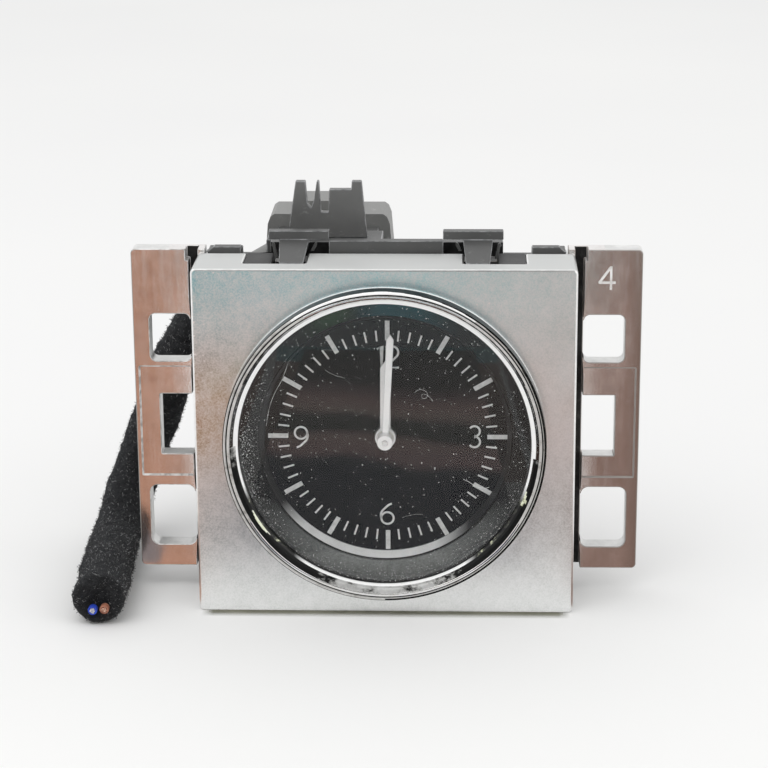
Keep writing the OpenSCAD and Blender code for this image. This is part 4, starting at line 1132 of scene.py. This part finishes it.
# A painted sheen in level bands by height.
sheen_at = dial_black.span(dial_black.sum("ADD", "Z", drift), 0.01, 0.051)
dial_black.colour(dial_black.ramp(
    sheen_at, (0.42, (0.003, 0.0034, 0.005)), (0.5, (0.006, 0.005, 0.0045)),
    (0.7, (0.008, 0.0065, 0.006)), (0.9, (0.005, 0.0045, 0.0045)), (1.0, (0.004, 0.007, 0.007))))
dial_black.roughness(dial_black.grain(90, 3), 0.45, 0.6)
dial_black.relief(dial_black.grain(600, 2), 0.02, 0.00001)
hand_white = Finish("hand_white", (0.8, 0.81, 0.81), 0.42).mottled(
    700, (0.3, (0.93, 0.93, 0.92)), (0.7, (0.98, 0.98, 0.97)))
hand_white.relief(hand_white.grain(2500, 2), 0.1, 0.00003)
hand_edge = Finish("hand_edge", 0.8, 0.5).mottled((900, 2), (0.3, 0.74), (0.7, 0.88))
for name, node_name, body in (("long_hand", "minute_hand", "minute_train"),
                              ("short_hand", "hour_hand", "hour_train")):
    made = softened(name, node_name, 0.08)
    seat(wear(made, hand_white, hand_edge), body, "hand_white", node_name)

# %% [markdown]
# ## Glass
#
# The glass is a thin flat disc, ground at its rim. The shader refracts what is behind it.
# A refracting disc would also cast a dark shadow on the dial, because lamps are sampled
# straight through it, so shadow rays see a transparent surface instead.

# %% Clear glass
glass = turned("clear_glass", [(24.9, -0.9), (25.15, -0.87), (25.28, -0.74), (25.28, -0.06),
                               (25.15, 0.07), (24.9, 0.1)], 160, 20, closed=False)
clear = Finish("clear_glass", 1.0, 0.01, IOR=1.36, Transmission_Weight=1.0)
clear.roughness(clear.grain(70, 5, 0.6), 0.0, 0.03)
either = clear.node("MixShader", None, clear.node("LightPath").outputs["Is Shadow Ray"],
                    clear.shader.outputs[0], clear.node("BsdfTransparent").outputs[0])
clear.give(clear.tree.nodes["Material Output"].inputs["Surface"], either.outputs[0])
seat(wear(glass, clear), "case", "clear_glass", "glass")
print("glass faces", len(glass.data.polygons))

# %% [markdown]
# ## Dust and fine scratches
#
# The clock is used, and its glass carries dust, thickest along the rim on the left and at
# the bottom, and a few hair scratches. The tree scatters points on a flat patch just in
# front of the glass, keeps those that a noise field favours, and puts a small flake on
# each. It runs twice, for fine dust and for specks.

# %% Dust tree
ANY_WAY = ((0, -3.14, 0), (0, 3.14, 0))
dust = Growth("glass_dust", Density=4.0e5, Smallest=0.00002, Largest=0.00008, Rim=0.5,
              Middle=0.01, Seed=4)
given = dust.given
dust.here = dust.node("InputPosition").outputs[0]
from_axis = dust.node("ShaderNodeVectorMath", {"operation": "DISTANCE"}, dust.here,
                      spot(0, -1, DIAL_UP))
near_rim = dust.span(from_axis.outputs["Value"], 0.0214, 0.0243)
on_left = dust.where(("X", -0.012, -0.0225, 0.1), ("Z", 0.042, 0.031, 0.1))
low_down = dust.span("Z", 0.024, 0.008, 0.06, 0.8)
rim_part = dust.both(dust.both(near_rim, dust.sum("MAXIMUM", on_left, low_down)), given["Rim"])
patchy = dust.node("ShaderNodeTexNoise", Scale=170.0, Detail=3.0).outputs[0]
many = dust.both(dust.both(dust.sum("ADD", rim_part, given["Middle"]), patchy), given["Density"])
settled = dust.scatter(many)["Points"]
flake = dust.node("MeshUVSphere", Segments=4, Rings=2, Radius=1.0)
flatten = dust.node("ShaderNodeCombineXYZ", None, dust.random(0.5, 1.6), 0.25, 1.0)
flake_size = dust.node("ShaderNodeVectorMath", {"operation": "SCALE"}, flatten.outputs[0],
                       Scale=dust.random(given["Smallest"], given["Largest"]))
dust.plant(Points=settled, Instance=flake.outputs[0], Scale=flake_size.outputs[0],
           Rotation=dust.random(*ANY_WAY))


def glass_patch(name, radius=24.3, back=-0.92):
    """A flat round patch before the glass, in faces small enough for the tree's fields."""
    work = bmesh.new()
    hub = work.verts.new(spot(0, back, DIAL_UP))
    rims = [dial_ring(work, radius * k / 32, back, 96) for k in range(1, 33)]
    for i in range(96):
        n = (i + 1) % 96
        work.faces.new((hub, rims[0][n], rims[0][i]))
        for inner, outer in zip(rims, rims[1:]):
            work.faces.new((inner[i], inner[n], outer[n], outer[i]))
    return piece(name, work, outward=False)


dust_grey = Finish("dust_grey", (0.6, 0.6, 0.59), 0.8).mottled(
    (900, 3), (0.3, 0.6), (0.6, (0.98, 0.98, 0.96)))
for name, density, smallest, largest, rim, middle, seed in (
        ("fine_dust", 6.0e7, 0.000015, 0.00006, 0.6, 0.01, 4),
        ("dust_specks", 6.0e6, 0.000022, 0.000078, 0.5, 0.07, 11)):
    made = grow(glass_patch(name), dust, dust_grey, Density=density, Smallest=smallest,
                Largest=largest, Rim=rim, Middle=middle, Seed=seed)
    seat(made, "case", "clear_glass")
    print(name, len(made.data.polygons) // 8)

# %% [markdown]
# Bent threads from a second tree make the fine scratches, and three longer threads are
# drawn along listed points.

# %% Scratches
hairs = Growth("hair_scratches", Density=2.0e4, Length=0.004, Width=0.00001, Seed=2)
given = hairs.given
hairs.plant(Points=hairs.scatter(given["Density"])["Points"], Rotation=hairs.random(*ANY_WAY),
            Instance=hairs.thread(given["Width"], 7, (-0.5, 0, 0), (0.1, 0, 0.16), (0.5, 0, 0.05)),
            Scale=hairs.both(hairs.random(0.3, 1.5), given["Length"]))
scratches = grow(glass_patch("hair_scratches", 23.5), hairs, dust_grey, Density=7.0e3,
                 Length=0.0024, Width=0.000008, Seed=6)
seat(scratches, "case", "clear_glass")
THREADS = {
    "long_hair": (0.035, [(-15.8, 45.0), (-16.5, 43.0), (-17.2, 41.3), (-18.1, 39.7),
                          (-19.0, 37.5), (-19.5, 35.3), (-19.8, 33.6)]),
    "curled_thread": (0.024, [(5.1, 39.5), (5.6, 40.0), (6.5, 40.05), (7.2, 39.5), (7.15, 38.8),
                              (6.6, 38.5), (6.2, 38.9), (6.6, 39.3), (7.5, 38.9), (8.1, 38.1)]),
    "small_thread": (0.06, [(13.2, 24.4), (14.2, 23.9), (15.4, 23.1), (16.8, 22.8), (17.6, 23.0)]),
}
for name, (width, line) in THREADS.items():
    work = bmesh.new()
    track = smooth_line([Vector(point) for point in line], 6)
    for start in range(0, len(track) - 1, 3):
        ribbon(work, [tuple(point) for point in track[start:start + 4]],
               width * (0.6 + 0.5 * math.sin(start * 1.7) ** 2), INK)
    made = lay(wear(piece(name, work), dust_grey), lambda x, y, out: spot(x, -0.93 - out, y))
    seat(made, "case", "clear_glass")
print("scratch faces", len(scratches.data.polygons), "threads", len(THREADS))

# %% [markdown]
# ## The cavity number
#
# The right ear carries the plain raised figure that a mould maker cuts in to tell one
# cavity from another. It is three strokes, a sixth of a millimetre proud.

# %% Raised figure
EAR_FRONT, STROKE_WIDE, STROKE_PROUD, STROKE_STEP = 11.62, 0.4, 0.16, 0.012
figure_bright = Finish("figure_bright", (0.85, 0.83, 0.81), 0.35, 0.2).mottled(
    900, (0.3, (0.72, 0.7, 0.68)), (0.6, (0.95, 0.94, 0.93)))
for i, line in enumerate(([(38.05, 58.1), (36.05, 55.3)], [(36.0, 55.35), (38.85, 55.35)],
                          [(38.05, 58.15), (38.05, 54.1)])):
    work = bmesh.new()
    ribbon(work, line, STROKE_WIDE, STROKE_PROUD + STROKE_STEP * i)
    stroke = wear(piece("cavity_figure_%d" % (i + 1), work), figure_bright)
    seat(lay(stroke, lambda x, z, out: spot(x, EAR_FRONT - out, z)), "case", "ear_chrome")
print("strokes of the cavity figure", i + 1)

# %% [markdown]
# ## Finishes of the inner works
#
# What lies inside is seen only when someone takes the clock apart, yet each node gets the
# finish of its real material: green board, copper winding, brass pillars, soft iron.

# %% Inner works
def speckled(name, colour, rough, metal, scale, depth, bump):
    """A finish that varies a little about one colour."""
    finish = Finish(name, colour, rough, metal)
    cloud = finish.grain(scale, 5, 0.62)
    finish.colour(finish.ramp(cloud, (0.3, tuple(c * (1 - depth) for c in colour)),
                              (0.7, tuple(min(1, c * (1 + depth)) for c in colour))))
    finish.roughness(cloud, max(0.03, rough - 0.08), rough + 0.08)
    return finish.relief(finish.grain(scale * 5, 2), bump, 0.00004)


INNER = {
    "black_rubber": ((0.012, 0.012, 0.012), 0.7, 0.0, 900, 0.25, "glass_gasket"),
    "clear_acrylic": ((0.86, 0.9, 0.88), 0.12, 0.0, 600, 0.05, "light_guide"),
    "board_green": ((0.02, 0.11, 0.05), 0.35, 0.0, 900, 0.25, "circuit_board"),
    "lamp_white": ((0.78, 0.76, 0.62), 0.4, 0.0, 600, 0.1, "dial_lamps"),
    "chip_black": ((0.016, 0.016, 0.017), 0.45, 0.0, 600, 0.25, "driver_chip"),
    "bright_steel": ((0.6, 0.6, 0.59), 0.25, 1.0, 500, 0.12,
                     "quartz_can movement_screws carrier_screws centre_arbor"),
    "capacitor_tan": ((0.42, 0.29, 0.16), 0.5, 0.0, 600, 0.25, "board_capacitors"),
    "natural_plastic": ((0.66, 0.63, 0.54), 0.42, 0.0, 600, 0.08,
                        "movement_front_plate movement_rear_plate coil_bobbin"),
    "gear_plastic": ((0.74, 0.73, 0.68), 0.35, 0.0, 600, 0.06,
                     "hour_wheel motion_wheel third_wheel rotor_pinion"),
    "brass": ((0.72, 0.5, 0.2), 0.24, 1.0, 420, 0.14, "movement_pillars"),
    "magnet_grey": ((0.11, 0.11, 0.115), 0.45, 0.4, 600, 0.25, "rotor_magnet"),
    "soft_iron": ((0.4, 0.4, 0.4), 0.38, 1.0, 300, 0.16, "stator coil_core"),
    "copper_winding": ((0.72, 0.3, 0.13), 0.3, 1.0, 2400, 0.3, "coil_winding"),
    "tin_brass": ((0.66, 0.62, 0.5), 0.28, 1.0, 700, 0.12, "socket_contacts"),
    "orange_rubber": ((0.62, 0.16, 0.03), 0.6, 0.0, 600, 0.15, "plug_seal"),
}
dressed = {"dial": dial_black}
for name, (colour, rough, metal, scale, depth, covered) in INNER.items():
    bump = 0.6 if name == "copper_winding" else 0.1
    finish = speckled(name, colour, rough, metal, scale, depth, bump)
    if name == "clear_acrylic":
        finish.put(Transmission_Weight=0.85)
    dressed.update({node_name: finish for node_name in covered.split()})
for node_name, finish in dressed.items():
    for slot in nodes[node_name].material_slots:
        slot.material = finish.material
print("nodes that keep their shape and are dressed:", len(dressed))

# %% [markdown]
# ## The studio
#
# The floor is a plain pale board. The world is white where the camera, a mirror or the
# glass looks at it, and softer where it lights the matt surfaces, so that the background
# is white without any more light on the clock. The floor keeps the clock's shadow, and a
# thin dark strip, which only the camera sees, is a painted shadow for the gap below the front.

# %% Floor and world
AMBIENT = 0.93
STRIP_HALF, STRIP_FRONT, STRIP_BACK, STRIP_UP = 0.0316, -0.0185, -0.004, 0.00004


def plane(name, corners):
    mesh = bpy.data.meshes.new(name)
    mesh.from_pydata(corners, [], [(0, 1, 2, 3)])
    made = add_object(name, mesh)
    return made


board = Finish("pale_board", 0.9, 0.6, Specular_IOR_Level=0.0).mottled(
    (2.5, 3), (0.3, 0.87), (0.7, (0.91, 0.91, 0.9)))
wear(plane("floor", [(-3, -3, 0), (3, -3, 0), (3, 3, 0), (-3, 3, 0)]), board)
# A painted shadow strip in front of the clock.
shade = Finish("shade_line", (0.2, 0.2, 0.16), 0.8, Specular_IOR_Level=0.0).mottled(
    (200, 3), (0.3, (0.17, 0.17, 0.13)), (0.7, (0.24, 0.24, 0.19)))
shade.put(Alpha=shade.where(("|X|", STRIP_HALF, STRIP_HALF - 0.002),
                            ("Y", STRIP_FRONT, STRIP_FRONT + 0.002)))
strip = wear(plane("shade_line", [(x, y, STRIP_UP) for x, y in (
    (-STRIP_HALF, STRIP_FRONT), (STRIP_HALF, STRIP_FRONT), (STRIP_HALF, STRIP_BACK),
    (-STRIP_HALF, STRIP_BACK))]), shade)
strip.visible_glossy = strip.visible_diffuse = strip.visible_shadow = False

world = bpy.data.worlds.new("studio")
bpy.context.scene.world = world
world.use_nodes = True
sky = Tree(world.node_tree)
background = sky.tree.nodes["Background"].inputs
rays = sky.node("LightPath").outputs
looked_at = sky.sum("MAXIMUM", sky.sum("MAXIMUM", rays["Is Camera Ray"], rays["Is Glossy Ray"]),
                    rays["Is Transmission Ray"])
sky.give(background["Color"], 1.0)
sky.give(background["Strength"], sky.span(looked_at, 0, 1, AMBIENT, 1.0))
print("world light on matt surfaces", AMBIENT)

# %% [markdown]
# ## Lamps
#
# Two large soft lamps do the modelling: one high in front and to the left, one weaker from
# the right. Large area lamps have soft shadows, as a light tent has.

# %% Lamps
LIT_POINT = Vector((0, 0, 0.03))
for name, place, size, watts in (("softbox", (-0.3, -0.25, 0.75), (0.7, 0.6), 1.3),
                                 ("fill", (0.6, -0.45, 0.45), (0.4, 0.5), 0.4)):
    data = bpy.data.lights.new(name, "AREA")
    data.shape = "RECTANGLE"
    data.size, data.size_y = size
    data.energy = watts
    made = add_object(name, data)
    made.location = place
    made.rotation_euler = (LIT_POINT - Vector(place)).to_track_quat("-Z", "Y").to_euler()
    print(name, watts, "W")

# %% [markdown]
# ## What the metal mirrors
#
# A mirror shows its surroundings, and the photographer's table was not empty. A warm card
# on the table in front gives the chromed ears their copper colour, a cool one beyond it
# the bluish top of the front, and black flags round the camera the dark bands of the
# bezel. The cards are seen in reflections only: they neither light the clock nor shade it.

# %% Mirror cards
FLAG_BLACK = (0.02, 0.02, 0.022)


def mirrored(name, corners):
    """A plane that only reflections see."""
    made = plane(name, corners)
    made.visible_camera = made.visible_diffuse = made.visible_transmission = False
    made.visible_volume_scatter = made.visible_shadow = False
    return made


def on_table(corners, lift=0.6):
    """Corners across and back on the drawing, just above the table."""
    return [spot(x, back, lift) for x, back in corners]


for name, corners, colour in (
        ("warm_card", on_table([(-33.5, -62), (33.5, -62), (40, -205), (-53, -205)]),
         (0.45, 0.34, 0.28)),
        ("warm_left", on_table([(-64, 8), (-33.5, 8), (-80, -420), (-155, -420)]),
         (0.49, 0.272, 0.19)),
        ("warm_right", on_table([(33, 8), (60, 8), (110, -420), (50, -420)]), (0.28, 0.19, 0.16)),
        ("grey_corner", on_table([(-64, 3), (-41.4, 3), (-42.2, -14), (-66, -14)], 0.8),
         (0.24, 0.21, 0.21)),
        ("teal_card", on_table([(-53, -205), (40, -205), (42, -240), (-58, -240)]),
         (0.3, 0.62, 0.66)),
        ("cool_card", on_table([(-58, -240), (42, -240), (50, -420), (-80, -420)]),
         (0.5, 0.58, 0.61)),
        ("camera_flag", [(-0.16, -0.46, 0.04), (0.2, -0.46, 0.04), (0.2, -0.5, 0.4),
                         (-0.16, -0.5, 0.4)], FLAG_BLACK),
        ("high_flag", [(-0.3, -0.42, 0.52), (0.3, -0.42, 0.52), (0.3, -0.2, 0.72),
                       (-0.3, -0.2, 0.72)], FLAG_BLACK)):
    glow = bpy.data.materials.new(name)
    glow.use_nodes = True
    glow.node_tree.nodes.clear()
    look = Tree(glow.node_tree)
    shine = look.node("Emission", None, Color=colour, Strength=1.0)
    look.node("OutputMaterial", Surface=shine.outputs[0])
    mirrored(name, corners).data.materials.append(glow)
    print(name, end=" ")
print("are the plain cards")

# %% [markdown]
# The glass mirrors something banded: level stripes of pink and dark, a little slanted.

# %% Glass bands
bands = Finish("glass_bands", 0.0, 1.0, Specular_IOR_Level=0.0, Emission_Strength=1.5)
waver = bands.span(bands.grain(22, 2, 0.5, (1, 0.5, 1)), 0.3, 0.7, -0.006, 0.006)
away = bands.sum("ADD", bands.both("Y", -1.0),
                 bands.sum("ADD", bands.both("X", 0.22), waver))
bands.put(Emission_Color=bands.ramp(
    bands.span(away, 0.03, 0.2), (0.0, (0.1, 0.105, 0.125)), (0.3, (0.075, 0.08, 0.1)),
    (0.34, 0.18), (0.38, (1.0, 0.68, 0.64)), (0.46, (0.95, 0.68, 0.62)), (0.5, (0.14, 0.16, 0.14)),
    (0.58, (0.2, 0.21, 0.19)), (0.63, (1.0, 0.76, 0.68)), (0.71, (0.9, 0.6, 0.55)),
    (0.79, (0.4, 0.29, 0.28)), (0.88, (0.08, 0.085, 0.08)), (1.0, (0.08, 0.09, 0.085))))
band_corners = on_table([(-32, -22), (26, -22), (32, -232), (-44, -232)], 0.8)
wear(mirrored("glass_bands", band_corners), bands)
bpy.context.scene.view_settings.view_transform = "Standard"
print("bands on the glass from", len(bands.tree.nodes), "nodes")
